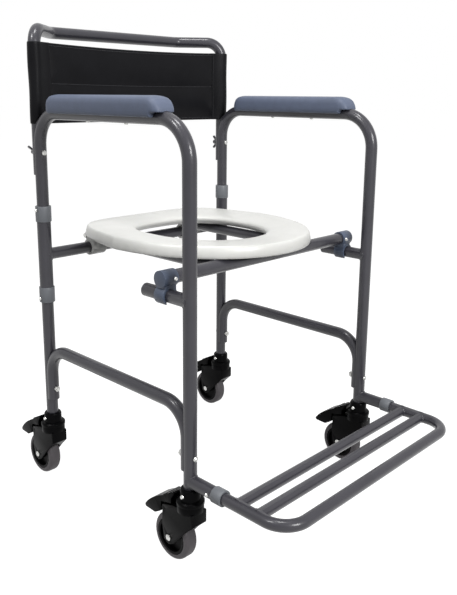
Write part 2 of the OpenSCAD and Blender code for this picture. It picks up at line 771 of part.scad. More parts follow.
module wing_nut(side) {
    color("silver")
        translate([side * leg_x, post_y + tube_d / 2 + side_gap, back_bolt_z])
            rotate([-90, side == left ? wing_turn_left : wing_turn_right, 0])
                difference() {
                    union() {
                        cylinder(d1 = wing_hub_d, d2 = wing_hub_d - wing_t / 2, h = wing_hub_h);
                        for (turn = [0, 180])
                            rotate([0, 0, turn])
                                translate([0, wing_t / 2, 0])
                                    rotate([90, 0, 0])
                                        linear_extrude(height = wing_t)
                                            polygon([[0, wing_h / 6], [wing_hub_d / 2, wing_h / 8],
                                                [wing_span / 2 - wing_t, wing_h / 2], [wing_span / 2, wing_h * 3 / 4],
                                                [wing_span / 2 - wing_t / 4, wing_h], [wing_span / 2 - wing_t, wing_h],
                                                [wing_hub_d / 2, wing_hub_h * 3 / 4], [0, wing_hub_h * 3 / 4]]);
                    }
                    translate([0, 0, -over])
                        cylinder(d = bolt_d + 2 * run_fit, h = wing_hub_h + 2 * over);
                }
}

function pad_section(row) =
    let (run = leg_depth - pad_front_inset - pad_rear_inset)
    let (y = front_y + pad_front_inset + row[0] * run)
    let (count = len(pad_section_shares))
    [for (p = concat(pad_section_shares, [for (i = [count - 2:-1:0]) [-pad_section_shares[i][0], pad_section_shares[i][1]]]))
        [p[0] * row[1] * pad_w / 2, y, arm_z + p[1] * row[2] * pad_height]];

module arm_pad(side) {
    sections = [for (row = pad_end_shares) pad_section(row)];
    rows = len(sections);
    columns = len(sections[0]);
    ends = concat([[for (j = [0:columns - 1]) j]], [[for (j = [columns - 1:-1:0]) (rows - 1) * columns + j]]);
    color("slategray")
        translate([side * leg_x, 0, 0])
            difference() {
                polyhedron(points = [for (row = sections) each row], faces = concat(wall_faces(rows, columns, false), ends));
                side_path(tube_d + 2 * seat_fit, 0);
                for (i = [0, 1])
                    translate([0, front_y + pad_screw_inset + i * pad_screw_pitch, arm_z])
                        cylinder(d = screw_d + 2 * seat_fit, h = tube_d / 2 + pad_screw_depth + seat_fit);
            }
}

// Small screw along +Z with its head's upper face at the origin
module screw(length) {
    cylinder(d = screw_d, h = length);
    translate([0, 0, -screw_head_h])
        cylinder(d1 = screw_head_d * 0.7, d2 = screw_head_d, h = screw_head_h);
}

module arm_screws() {
    color("silver")
        both_sides()
            for (i = [0, 1])
                translate([0, front_y + pad_screw_inset + i * pad_screw_pitch, arm_z - tube_d / 2])
                    screw(tube_d + pad_screw_depth);
}

module seat() {
    columns = len(seat_section_shares);
    points = [for (i = [0:seat_steps - 1]) for (share = seat_section_shares) seat_point(i * 360 / seat_steps, share)];
    color("whitesmoke")
        polyhedron(points = points, faces = wall_faces(seat_steps, columns, true));
}

module seat_hinge_lugs() {
    color("whitesmoke")
        for (side = [left, right])
            translate([side * (bracket_x - side_gap - lug_w / 2), 0, 0])
                difference() {
                    union() {
                        bar([-lug_w / 2, hinge_y, hinge_z], [lug_w / 2, hinge_y, hinge_z], eye_d);
                        translate([-lug_w / 2, hinge_y - eye_d / 2, hinge_z])
                            cube([lug_w, eye_d, seat_foot_z - hinge_z]);
                    }
                    bar([-lug_w, hinge_y, hinge_z], [lug_w, hinge_y, hinge_z], pin_d + 2 * run_fit);
                }
}

module seat_bumpers() {
    top_z = crossbar_z + rail_d / 2 + side_gap;
    color("dimgray")
        for (side = [left, right])
            for (i = [0, 1])
                translate([side * rail_x, i == 0 ? front_y + bumper_inset : rear_y - bumper_rear_inset, top_z])
                    cylinder(d = bumper_d, h = seat_foot_z - top_z);
}

module seat_support() {
    bar_half_w = clip_x - over - tube_wall;
    color("dimgray") {
        straight([-bar_half_w, crossbar_y, crossbar_z], [bar_half_w, crossbar_y, crossbar_z], crossbar_d, tube_wall);
        for (side = [left, right])
            difference() {
                straight([side * rail_x, crossbar_y, crossbar_z], [side * rail_x, rear_y - cross_d / 2, crossbar_z],
                    rail_d, tube_wall);
                bar([0, crossbar_y, crossbar_z], [side * leg_x, crossbar_y, crossbar_z], crossbar_d - 2 * weld_bite);
            }
    }
}

// Clip: a cap on the crossbar's end over a ring, open below, on the stub
module seat_clip(side) {
    ring_d = stub_d + clip_d - crossbar_d + 2 * tube_wall;
    cap_x = clip_x - clip_length;
    color("slategray")
        difference() {
            union() {
                bar([side * cap_x, crossbar_y, crossbar_z], [side * clip_x, crossbar_y, crossbar_z], clip_d);
                bar([side * leg_x, crossbar_y - clip_w / 2, stub_z], [side * leg_x, crossbar_y + clip_w / 2, stub_z], ring_d);
                translate([side * (cap_x + clip_x) / 2, crossbar_y, (stub_z + crossbar_z) / 2])
                    cube([clip_length * 0.8, clip_w * 0.9, crossbar_z - stub_z], center = true);
            }
            bar([side * (cap_x - clip_length), crossbar_y, crossbar_z], [side * (clip_x - over - tube_wall + seat_fit),
                crossbar_y, crossbar_z], crossbar_d + 2 * seat_fit);
            bar([side * leg_x, crossbar_y - clip_w, stub_z], [side * leg_x, crossbar_y + clip_w, stub_z],
                stub_d + 2 * seat_fit);
            translate([side * leg_x - stub_d * 0.35, crossbar_y - clip_w, stub_z - ring_d])
                cube([stub_d * 0.7, 2 * clip_w, ring_d]);
            bar([side * (cap_x + screw_head_d), crossbar_y - clip_d, crossbar_z],
                [side * (cap_x + screw_head_d), crossbar_y, crossbar_z], screw_d + 2 * seat_fit);
        }
}

module tube_screws() {
    cap_x = clip_x - clip_length;
    socket_screw_z = caster_top_z - socket_screw_drop;
    color("silver") {
        for (side = [left, right])
            translate([side * (cap_x + screw_head_d), crossbar_y - clip_d / 2, crossbar_z])
                rotate([-90, 0, 0])
                    screw((clip_d - crossbar_d) / 2);
        both_sides()
            for (end = [front, rear])
                translate([-lip_d / 2 - screw_head_h / 2, leg_y(end), socket_screw_z])
                    rotate([0, 90, 0])
                        screw((lip_d - tube_d) / 2 + screw_head_h / 2 + tube_wall);
    }
}

module seat_hinge_brackets() {
    color("white")
        for (side = [left, right])
            difference() {
                union() {
                    bar([side * bracket_x, rear_y, cross_z], [side * (bracket_x + bracket_w), rear_y, cross_z], bracket_d);
                    bar([side * bracket_x, hinge_y, hinge_z], [side * (bracket_x + bracket_w), hinge_y, hinge_z],
                        eye_d - weld_bite);
                    translate([side * rail_x - bracket_w / 2, hinge_y - bracket_length, cross_z])
                        cube([bracket_w, bracket_length, seat_foot_z - weld_bite - cross_z]);
                }
                bar([0, rear_y, cross_z], [side * leg_x, rear_y, cross_z], cross_d + 2 * seat_fit);
                bar([0, hinge_y, hinge_z], [side * leg_x, hinge_y, hinge_z], pin_d + 2 * seat_fit);
                bar([side * rail_x, crossbar_y, crossbar_z], [side * rail_x, rear_y - cross_d / 2 + seat_fit, crossbar_z],
                    rail_d + 2 * seat_fit);
            }
}

module seat_hinge_pins() {
    color("silver")
        for (side = [left, right]) {
            bar([side * (bracket_x - lug_w - 2 * side_gap), hinge_y, hinge_z],
                [side * (bracket_x + bracket_w + seat_fit), hinge_y, hinge_z], pin_d);
            bar([side * (bracket_x + bracket_w + seat_fit), hinge_y, hinge_z],
                [side * (bracket_x + bracket_w + pin_head_h), hinge_y, hinge_z], pin_head_d);
        }
}

module stub_plugs() {
    end_y = front_y + stub_length;
    color("slategray")
        both_sides() {
            bar([0, end_y - plug_length, stub_z], [0, end_y, stub_z], stub_d - 2 * tube_wall - 2 * seat_fit);
            bar([0, end_y, stub_z], [0, end_y + plug_head, stub_z], stub_d);
        }
}

module footrest() {
    tail_y = front_y - footrest_tail;
    bend_y = front_y - footrest_reach + footrest_bend_r;
    slot_w = button_d + 2 * side_gap;
    slot_y = front_y - foot_button_inset;
    color("dimgray")
        difference() {
            union() {
                both_sides()
                    straight([0, bend_y, footrest_z], [0, tail_y, footrest_z], footrest_d, tube_wall);
                translate([leg_x - footrest_bend_r, bend_y, footrest_z])
                    rotate([0, 0, -90])
                        elbow(footrest_bend_r, 90, footrest_d, tube_wall);
                translate([footrest_bend_r - leg_x, bend_y, footrest_z])
                    rotate([0, 0, 180])
                        elbow(footrest_bend_r, 90, footrest_d, tube_wall);
                straight([footrest_bend_r - leg_x, bend_y - footrest_bend_r, footrest_z],
                    [leg_x - footrest_bend_r, bend_y - footrest_bend_r, footrest_z], footrest_d, tube_wall);
                for (i = [0, 1])
                    difference() {
                        straight([-leg_x, front_y - foot_bar_inset - i * foot_bar_pitch, footrest_z],
                            [leg_x, front_y - foot_bar_inset - i * foot_bar_pitch, footrest_z], foot_bar_d, tube_wall);
                        both_sides()
                            bar([0, bend_y - footrest_d, footrest_z], [0, tail_y, footrest_z], footrest_d - 2 * weld_bite);
                    }
            }
            for (side = [left, right])
                translate([side * leg_x, 0, footrest_z]) {
                    translate([side > 0 ? 0 : -footrest_d, slot_y, -slot_w / 2])
                        cube([footrest_d, footrest_travel, slot_w]);
                    for (y = [slot_y, slot_y + footrest_travel])
                        bar([0, y, 0], [side * footrest_d, y, 0], slot_w);
                }
        }
}

module footrest_collars() {
    color("slategray")
        both_sides()
            translate([0, front_y - socket_length, footrest_z])
                rotate([90, 0, 0])
                    collar(foot_collar_d, foot_collar_length, foot_collar_lap, socket_d, footrest_d, slip_fit);
}

// Snap button pointing along +X, with its spring leaf along Z
module snap_button(leaf_x, tip_x) {
    dome = button_d / 4;
    bar([leaf_x, 0, 0], [tip_x - dome, 0, 0], button_d);
    translate([tip_x - dome, 0, 0])
        rotate([0, 90, 0])
            cylinder(d1 = button_d, d2 = button_d * 0.6, h = dome);
    translate([leaf_x - leaf_t, -leaf_w / 2, -leaf_length / 2])
        cube([leaf_t, leaf_w, leaf_length]);
}

module sleeve_button(side, z) {
    color("silver")
        translate([side * leg_x, rear_y, z])
            rotate([0, 0, side > 0 ? 0 : 180])
                snap_button(leaf_x, collar_d / 2 + button_proud);
}

module footrest_button(side) {
    color("silver")
        translate([side * leg_x, front_y - foot_button_inset, footrest_z])
            rotate([0, 0, side > 0 ? 0 : 180])
                rotate([90, 0, 0])
                    snap_button(foot_leaf_x, socket_d / 2 + button_proud);
}

module caster_socket(side, end) {
    lip_z = caster_top_z - lip_h;
    cup_z = swivel_z + flange_h;
    color("black")
        translate([side * leg_x, leg_y(end), 0])
            difference() {
                union() {
                    translate([0, 0, swivel_z])
                        cylinder(d = flange_d, h = flange_h);
                    translate([0, 0, cup_z])
                        cylinder(d1 = flange_d, d2 = flange_d - 2 * flange_round, h = flange_round);
                    translate([0, 0, cup_z])
                        cylinder(d = lip_d, h = lip_z - cup_z);
                    translate([0, 0, lip_z])
                        cylinder(d1 = lip_d, d2 = lip_d - lip_h, h = lip_h);
                }
                translate([0, 0, leg_foot_z - seat_fit])
                    cylinder(d = tube_d + 2 * seat_fit, h = caster_top_z);
                translate([0, 0, swivel_z - over])
                    cylinder(d = kingpin_d + 2 * seat_fit, h = caster_top_z);
                bar([-flange_d, 0, caster_top_z - socket_screw_drop], [0, 0, caster_top_z - socket_screw_drop],
                    screw_d + 2 * seat_fit);
                bar([-flange_d, 0, caster_top_z - socket_screw_drop],
                    [-lip_d / 2 - screw_head_h / 2, 0, caster_top_z - socket_screw_drop], screw_head_d + 2 * side_gap);
            }
}

module caster_kingpins() {
    color("silver")
        both_sides()
            for (end = [front, rear])
                translate([0, leg_y(end), swivel_z - kingpin_drop]) {
                    translate([0, 0, -kingpin_head_h])
                        cylinder(d = kingpin_head_d, h = kingpin_head_h);
                    cylinder(d = kingpin_d, h = kingpin_drop + socket_floor + 2 * kingpin_head_h);
                }
}

module caster_fork(side, end) {
    head_z = swivel_z - kingpin_drop;
    color("black")
        translate([side * leg_x, leg_y(end), 0])
            difference() {
                union() {
                    across(fork_w)
                        polygon(caster_points(fork_shares));
                    bar([-fork_w / 2, caster_trail, axle_z], [fork_w / 2, caster_trail, axle_z], fork_boss_d);
                    bar([-fork_w / 2, pivot[0], pivot[1]], [fork_w / 2, pivot[0], pivot[1]], pedal_hub_d);
                    translate([0, 0, fork_top_z - fork_top_t])
                        cylinder(d = fork_top_d, h = fork_top_t);
                }
                bar([-cavity_w / 2, caster_trail, axle_z], [cavity_w / 2, caster_trail, axle_z], wheel_d + 2 * wheel_gap);
                across(cavity_w)
                    polygon(caster_points(slot_shares));
                bar([-fork_w, caster_trail, axle_z], [fork_w, caster_trail, axle_z], axle_d + 2 * seat_fit);
                bar([-fork_w, pivot[0], pivot[1]], [fork_w, pivot[0], pivot[1]], pivot_d + 2 * run_fit);
                translate([0, 0, axle_z])
                    cylinder(d = kingpin_d + 2 * run_fit, h = swivel_z);
                translate([0, 0, axle_z])
                    cylinder(d = kingpin_head_d + 2 * side_gap, h = head_z - axle_z);
            }
}

module caster_axle(side, end) {
    color("silver")
        translate([side * leg_x - fork_w / 2, leg_y(end) + caster_trail, axle_z])
            rotate([0, 0, -90]) {
                bolt(axle_d, fork_w + nut_h + bolt_tail, axle_head_d, bolt_head_h);
                translate([0, fork_w, 0])
                    nut(axle_nut_d, axle_d);
            }
}

module wheel_core(side, end) {
    rim_r = core_d / 2 - wheel_rim;
    color("black")
        translate([side * leg_x, leg_y(end) + caster_trail, axle_z])
            rotate([0, 90, 0])
                difference() {
                    cylinder(d = core_d, h = tyre_w - 2 * cheek_gap, center = true);
                    for (flip = [0, 180])
                        rotate([flip, 0, 0])
                            translate([0, 0, wheel_web / 2])
                                difference() {
                                    cylinder(r = rim_r, h = tyre_w);
                                    translate([0, 0, -over])
                                        cylinder(d = wheel_hub_d, h = tyre_w + 2 * over);
                                }
                    cylinder(d = axle_d + 2 * run_fit, h = 2 * tyre_w, center = true);
                }
}

module tyre(side, end) {
    inner_r = core_d / 2 + seat_fit;
    tread_r = tyre_w / 4;
    color("gray")
        translate([side * leg_x, leg_y(end) + caster_trail, axle_z])
            rotate([0, 90, 0])
                rotate_extrude()
                    difference() {
                        union() {
                            translate([inner_r, -tyre_w / 2])
                                square([wheel_d / 2 - inner_r - tread_r, tyre_w]);
                            translate([inner_r, tread_r - tyre_w / 2])
                                square([wheel_d / 2 - inner_r, tyre_w - 2 * tread_r]);
                            for (flip = [-1, 1])
                                translate([wheel_d / 2 - tread_r, flip * (tyre_w / 2 - tread_r)])
                                    circle(r = tread_r);
                        }
                        translate([0, -tyre_w])
                            square([inner_r, 2 * tyre_w]);
                    }
}

module brake_pedal(side, end) {
    nose_way = [caster_trail - pivot[0], axle_z - pivot[1]];
    nose = norm(nose_way) - wheel_d / 2 - swivel_gap;
    color("black")
        translate([side * leg_x, leg_y(end), 0])
            union() {
                difference() {
                    across(pedal_w)
                        polygon(caster_points(pedal_shares));
                    across(2 * pedal_w)
                        polygon([[-pedal_reach, 0], [pedal_foot_y, 0], [pedal_foot_y, swivel_z],
                            [pedal_front_y, pedal_front_z], [pedal_front_y, 2 * swivel_z],
                            [-pedal_reach, 2 * swivel_z]]);
                }
                across(pedal_hub_w)
                    union() {
                        polygon(caster_points(hub_shares));
                        translate(pivot)
                            circle(d = pedal_hub_d);
                        translate(pivot)
                            rotate(atan2(nose_way[1], nose_way[0]))
                                translate([0, -pivot_d / 2])
                                    square([nose, pivot_d]);
                    }
                bar([-fork_w / 2, pivot[0], pivot[1]], [fork_w / 2, pivot[0], pivot[1]], pivot_d);
            }
}

module side_frame_left() {
    side_frame(left);
}

module rear_leg_left() {
    rear_leg(left);
}

module stretcher_left() {
    stretcher(left);
}

module wing_nut_left() {
    wing_nut(left);
}

module arm_pad_left() {
    arm_pad(left);
}

module seat_clip_left() {
    seat_clip(left);
}

module footrest_button_left() {
    footrest_button(left);
}

module upper_button_left() {
    sleeve_button(left, upper_button_z);
}

module lower_button_left() {
    sleeve_button(left, lower_button_z);
}

module side_frame_right() {
    side_frame(right);
}

module rear_leg_right() {
    rear_leg(right);
}

module stretcher_right() {
    stretcher(right);
}

module wing_nut_right() {
    wing_nut(right);
}

module arm_pad_right() {
    arm_pad(right);
}

module seat_clip_right() {
    seat_clip(right);
}

module footrest_button_right() {
    footrest_button(right);
}

module upper_button_right() {
    sleeve_button(right, upper_button_z);
}

module lower_button_right() {
    sleeve_button(right, lower_button_z);
}

module caster_socket_front_left() {
    caster_socket(left, front);
}

module caster_fork_front_left() {
    caster_fork(left, front);
}

module caster_axle_front_left() {
    caster_axle(left, front);
}

module wheel_core_front_left() {
    wheel_core(left, front);
}

module tyre_front_left() {
    tyre(left, front);
}

module brake_pedal_front_left() {
    brake_pedal(left, front);
}

module caster_socket_front_right() {
    caster_socket(right, front);
}

module caster_fork_front_right() {
    caster_fork(right, front);
}

module caster_axle_front_right() {
    caster_axle(right, front);
}

module wheel_core_front_right() {
    wheel_core(right, front);
}

module tyre_front_right() {
    tyre(right, front);
}

module brake_pedal_front_right() {
    brake_pedal(right, front);
}

module caster_socket_rear_left() {
    caster_socket(left, rear);
}

module caster_fork_rear_left() {
    caster_fork(left, rear);
}

module caster_axle_rear_left() {
    caster_axle(left, rear);
}

module wheel_core_rear_left() {
    wheel_core(left, rear);
}

module tyre_rear_left() {
    tyre(left, rear);
}

module brake_pedal_rear_left() {
    brake_pedal(left, rear);
}

module caster_socket_rear_right() {
    caster_socket(right, rear);
}

module caster_fork_rear_right() {
    caster_fork(right, rear);
}

module caster_axle_rear_right() {
    caster_axle(right, rear);
}

module wheel_core_rear_right() {
    wheel_core(right, rear);
}

module tyre_rear_right() {
    tyre(right, rear);
}

module brake_pedal_rear_right() {
    brake_pedal(right, rear);
}

side_frame_left();
side_frame_right();
rear_leg_left();
rear_leg_right();
rear_frame();
rear_collars();
stretcher_left();
stretcher_right();
stretcher_bolts();
back_frame();
back_cover();
back_bolts();
wing_nut_left();
wing_nut_right();
arm_pad_left();
arm_pad_right();
arm_screws();
seat();
seat_hinge_lugs();
seat_bumpers();
seat_support();
seat_clip_left();
seat_clip_right();
tube_screws();
seat_hinge_brackets();
seat_hinge_pins();
stub_plugs();
footrest();
footrest_collars();
footrest_button_left();
footrest_button_right();
upper_button_left();
upper_button_right();
lower_button_left();
lower_button_right();
caster_socket_front_left();
caster_socket_front_right();
caster_socket_rear_left();
caster_socket_rear_right();
caster_kingpins();
caster_fork_front_left();
caster_fork_front_right();
caster_fork_rear_left();
caster_fork_rear_right();
caster_axle_front_left();
caster_axle_front_right();
caster_axle_rear_left();
caster_axle_rear_right();
wheel_core_front_left();
wheel_core_front_right();
wheel_core_rear_left();
wheel_core_rear_right();
tyre_front_left();
tyre_front_right();
tyre_rear_left();
tyre_rear_right();
brake_pedal_front_left();
brake_pedal_front_right();
brake_pedal_rear_left();
brake_pedal_rear_right();
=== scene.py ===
"""Shower commode chair: looks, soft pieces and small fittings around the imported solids."""
import json
import math

import bmesh
import bpy
from mathutils import Matrix, Vector


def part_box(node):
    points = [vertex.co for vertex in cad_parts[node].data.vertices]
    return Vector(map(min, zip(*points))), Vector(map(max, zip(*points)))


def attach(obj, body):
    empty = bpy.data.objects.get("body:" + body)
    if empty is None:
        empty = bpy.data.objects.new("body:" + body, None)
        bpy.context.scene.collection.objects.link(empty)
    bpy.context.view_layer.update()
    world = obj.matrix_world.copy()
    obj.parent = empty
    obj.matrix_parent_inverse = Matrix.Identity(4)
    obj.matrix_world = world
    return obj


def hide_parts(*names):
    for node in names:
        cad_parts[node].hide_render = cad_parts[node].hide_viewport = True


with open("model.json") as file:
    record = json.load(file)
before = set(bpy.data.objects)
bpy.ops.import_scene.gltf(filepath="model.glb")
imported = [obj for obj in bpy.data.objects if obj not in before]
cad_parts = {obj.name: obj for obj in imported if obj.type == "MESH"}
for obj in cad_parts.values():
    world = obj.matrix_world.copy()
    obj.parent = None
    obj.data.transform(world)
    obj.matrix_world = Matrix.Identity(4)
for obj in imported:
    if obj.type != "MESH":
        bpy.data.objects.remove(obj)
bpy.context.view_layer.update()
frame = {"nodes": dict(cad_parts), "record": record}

MM = 0.001
NODES = frame["nodes"]

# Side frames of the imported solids: their tube, its bends and where its axis runs
TUBE_R = 11.1 * MM
FRONT_BEND_R = 64 * MM
REAR_BEND_R = 58 * MM
SIDE_LOW, SIDE_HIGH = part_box("side_frame_left")
LEG_X = abs(SIDE_LOW[0] + SIDE_HIGH[0]) / 2
LEFT = math.copysign(1, SIDE_LOW[0] + SIDE_HIGH[0])
FRONT_Y = sum(c[1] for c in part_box("caster_socket_front_left")) / 2
REAR_Y = SIDE_HIGH[1] - TUBE_R
ARM_Z = SIDE_HIGH[2] - TUBE_R

# How close points are merged, in a new mesh and in a copied solid, and how close counts as level
MERGE = 0.01 * MM
SOLID_MERGE = 0.005 * MM
NEAR = 0.1 * MM

# A Mix node's colours, by their place among sockets that share a name
MIX_A = 6
MIX_B = 7
MIXED = 2


# Small helpers

def linear(code):
    """An sRGB hex colour as linear values, with full alpha."""
    parts = [int(code[i:i + 2], 16) / 255 for i in (1, 3, 5)]
    return [p / 12.92 if p <= 0.04045 else ((p + 0.055) / 1.055) ** 2.4 for p in parts] + [1.0]


def add_node(tree, kind, sockets=None, **settings):
    """Adds a node. sockets maps an input to its value, or to the output that feeds it."""
    made = tree.nodes.new(kind)
    for name, value in settings.items():
        setattr(made, name, value)
    for name, value in (sockets or {}).items():
        if isinstance(value, bpy.types.NodeSocket):
            tree.links.new(value, made.inputs[name])
        else:
            made.inputs[name].default_value = value
    return made


def per_mm(size):
    """Noise scale at which one patch is about this many millimetres wide."""
    return 1 / (size * MM)


def bands_per_mm(size):
    """Wave scale at which one band is this many millimetres wide. At scale 1 it is pi / 10 metres."""
    return math.pi / 10 / (size * MM)


def ramp(value, start, length):
    """0 up to start, 1 from a length past it, and a straight rise between."""
    return min(1.0, max(0.0, (value - start) / length))


def deselect():
    """Leaves edit mode, with nothing selected."""
    if bpy.context.object and bpy.context.object.mode != "OBJECT":
        bpy.ops.object.mode_set(mode="OBJECT")
    bpy.ops.object.select_all(action="DESELECT")


def hold(piece):
    """Makes a piece the only one selected."""
    deselect()
    piece.select_set(True)
    bpy.context.view_layer.objects.active = piece


def name_new(name):
    """The piece that an operator has just added, with its place moved into its mesh."""
    piece = bpy.context.object
    piece.name = name
    piece.data.name = name
    bpy.ops.object.transform_apply(location=True, rotation=True, scale=True)
    return piece


def pick_edges(piece, test):
    """Selects the edges whose two ends pass a test, and stays in edit mode."""
    hold(piece)
    bpy.ops.object.mode_set(mode="EDIT")
    bpy.ops.mesh.select_mode(type="EDGE")
    bpy.ops.mesh.select_all(action="DESELECT")
    work = bmesh.from_edit_mesh(piece.data)
    for edge in work.edges:
        edge.select_set(test(edge.verts[0].co, edge.verts[1].co))
    work.select_flush_mode()
    bmesh.update_edit_mesh(piece.data)


def edit_all(piece):
    """Selects a piece's whole mesh, and stays in edit mode."""
    hold(piece)
    bpy.ops.object.mode_set(mode="EDIT")
    bpy.ops.mesh.select_all(action="SELECT")


def apply_modifier(piece, name, kind, **settings):
    """Adds a modifier with its settings, and applies it."""
    hold(piece)
    made = piece.modifiers.new(name, kind)
    for key, value in settings.items():
        setattr(made, key, value)
    bpy.ops.object.modifier_apply(modifier=name)


def outward(piece):
    """Closes doubled points and turns all faces outward."""
    edit_all(piece)
    bpy.ops.mesh.remove_doubles(threshold=MERGE)
    bpy.ops.mesh.normals_make_consistent(inside=False)
    deselect()


def copy_solid(node, name):
    """A copy of a CAD node's mesh, joined up, as a new piece."""
    piece = bpy.data.objects.new(name, NODES[node].data.copy())
    bpy.context.scene.collection.objects.link(piece)
    edit_all(piece)
    bpy.ops.mesh.remove_doubles(threshold=SOLID_MERGE)
    deselect()
    return piece


def dress(piece, look):
    """Gives a piece its finish, and shades its faces smooth."""
    piece.data.materials.clear()
    piece.data.materials.append(look)
    piece.data.polygons.foreach_set("use_smooth", [True] * len(piece.data.polygons))


def finish_piece(piece, body, slot, look, *nodes):
    """Gives a new piece its finish, and the body and nodes that it goes with."""
    dress(piece, look)
    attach(piece, body)
    if nodes:
        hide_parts(*nodes)
    deselect()


deselect()


# Materials

def blank_material(name):
    """A material with no surface yet, its node tree, and the place on the piece that patterns read."""
    made = bpy.data.materials.new(name)
    made.use_nodes = True
    tree = made.node_tree
    tree.nodes.clear()
    place = add_node(tree, "ShaderNodeTexCoord").outputs["Object"]
    return made, tree, place


def powder_coated_steel():
    """Polyester powder coat on steel tube: an even dark grey with an orange-peel skin, so that the soft
    lights show as long streaks with slightly broken edges. Its gloss adds small glints at the bends."""
    made, tree, place = blank_material("powder_coated_steel")
    peel = add_node(tree, "ShaderNodeTexNoise", {"Vector": place, "Scale": per_mm(2.5), "Detail": 2.0})
    cloud = add_node(tree, "ShaderNodeTexNoise", {"Vector": place, "Scale": per_mm(45), "Detail": 2.0})
    tone = add_node(tree, "ShaderNodeMix",
                    {"Factor": cloud.outputs["Fac"], MIX_A: linear("#302f35"), MIX_B: linear("#3d3c43")},
                    data_type="RGBA")
    rough = add_node(tree, "ShaderNodeMapRange",
                     {"Value": peel.outputs["Fac"], "To Min": 0.32, "To Max": 0.44})
    skin = add_node(tree, "ShaderNodeBump",
                    {"Height": peel.outputs["Fac"], "Distance": 0.12 * MM, "Strength": 0.6})
    shader = add_node(tree, "ShaderNodeBsdfPrincipled",
                      {"Base Color": tone.outputs[MIXED], "Roughness": rough.outputs["Result"],
                       "Normal": skin.outputs["Normal"], "Coat Normal": skin.outputs["Normal"],
                       "IOR": 1.5, "Specular IOR Level": 0.3,
                       "Coat Weight": 0.4, "Coat Roughness": 0.14})
    add_node(tree, "ShaderNodeOutputMaterial", {"Surface": shader.outputs["BSDF"]})
    return made


def zinc_plated_steel():
    """Bright zinc on small bolts, screws and buttons: a mirror made cloudy by handling."""
    made, tree, place = blank_material("zinc_plated_steel")
    cloud = add_node(tree, "ShaderNodeTexNoise", {"Vector": place, "Scale": per_mm(2), "Detail": 3.0})
    tone = add_node(tree, "ShaderNodeMix",
                    {"Factor": cloud.outputs["Fac"], MIX_A: linear("#a9a9a7"), MIX_B: linear("#d0d0cd")},
                    data_type="RGBA")
    rough = add_node(tree, "ShaderNodeMapRange",
                     {"Value": cloud.outputs["Fac"], "To Min": 0.18, "To Max": 0.34})
    shader = add_node(tree, "ShaderNodeBsdfPrincipled",
                      {"Base Color": tone.outputs[MIXED], "Roughness": rough.outputs["Result"],
                       "Metallic": 1.0})
    add_node(tree, "ShaderNodeOutputMaterial", {"Surface": shader.outputs["BSDF"]})
    return made


# How far a mould's grain spreads the roughness, each way
GRAIN_SPREAD = 0.07


def moulded_plastic(name, dark, light, rough, grain_mm, grain_depth_mm, shine=0.4):
    """Injection moulded plastic. The mould's spark-eroded grain breaks its sheen into a soft bloom.
    The grain is drawn coarser than the real 0.2 mm, so that it still shows."""
    made, tree, place = blank_material(name)
    grain = add_node(tree, "ShaderNodeTexNoise", {"Vector": place, "Scale": per_mm(grain_mm), "Detail": 3.0})
    cloud = add_node(tree, "ShaderNodeTexNoise", {"Vector": place, "Scale": per_mm(20), "Detail": 2.0})
    tone = add_node(tree, "ShaderNodeMix",
                    {"Factor": cloud.outputs["Fac"], MIX_A: linear(dark), MIX_B: linear(light)},
                    data_type="RGBA")
    sheen = add_node(tree, "ShaderNodeMapRange",
                     {"Value": grain.outputs["Fac"], "To Min": rough - GRAIN_SPREAD,
                      "To Max": rough + GRAIN_SPREAD})
    skin = add_node(tree, "ShaderNodeBump",
                    {"Height": grain.outputs["Fac"], "Distance": grain_depth_mm * MM})
    shader = add_node(tree, "ShaderNodeBsdfPrincipled",
                      {"Base Color": tone.outputs[MIXED], "Roughness": sheen.outputs["Result"],
                       "Normal": skin.outputs["Normal"], "IOR": 1.49, "Specular IOR Level": shine})
    add_node(tree, "ShaderNodeOutputMaterial", {"Surface": shader.outputs["BSDF"]})
    return made


def blow_moulded_polyethylene():
    """White polyethylene of the seat: glossy and a little wavy, as blown into a cool mould."""
    made, tree, place = blank_material("blow_moulded_polyethylene")
    wave = add_node(tree, "ShaderNodeTexNoise", {"Vector": place, "Scale": per_mm(35), "Detail": 1.0})
    skin = add_node(tree, "ShaderNodeTexNoise", {"Vector": place, "Scale": per_mm(2.5), "Detail": 2.0})
    tone = add_node(tree, "ShaderNodeMix",
                    {"Factor": wave.outputs["Fac"], MIX_A: linear("#dcdcd8"), MIX_B: linear("#e6e6e2")},
                    data_type="RGBA")
    rough = add_node(tree, "ShaderNodeMapRange",
                     {"Value": skin.outputs["Fac"], "To Min": 0.28, "To Max": 0.4})
    dent = add_node(tree, "ShaderNodeBump", {"Height": wave.outputs["Fac"], "Distance": 0.25 * MM})
    shader = add_node(tree, "ShaderNodeBsdfPrincipled",
                      {"Base Color": tone.outputs[MIXED], "Roughness": rough.outputs["Result"],
                       "Normal": dent.outputs["Normal"], "IOR": 1.51, "Subsurface Weight": 0.06,
                       "Subsurface Radius": (4 * MM, 4 * MM, 3.5 * MM)})
    add_node(tree, "ShaderNodeOutputMaterial", {"Surface": shader.outputs["BSDF"]})
    return made


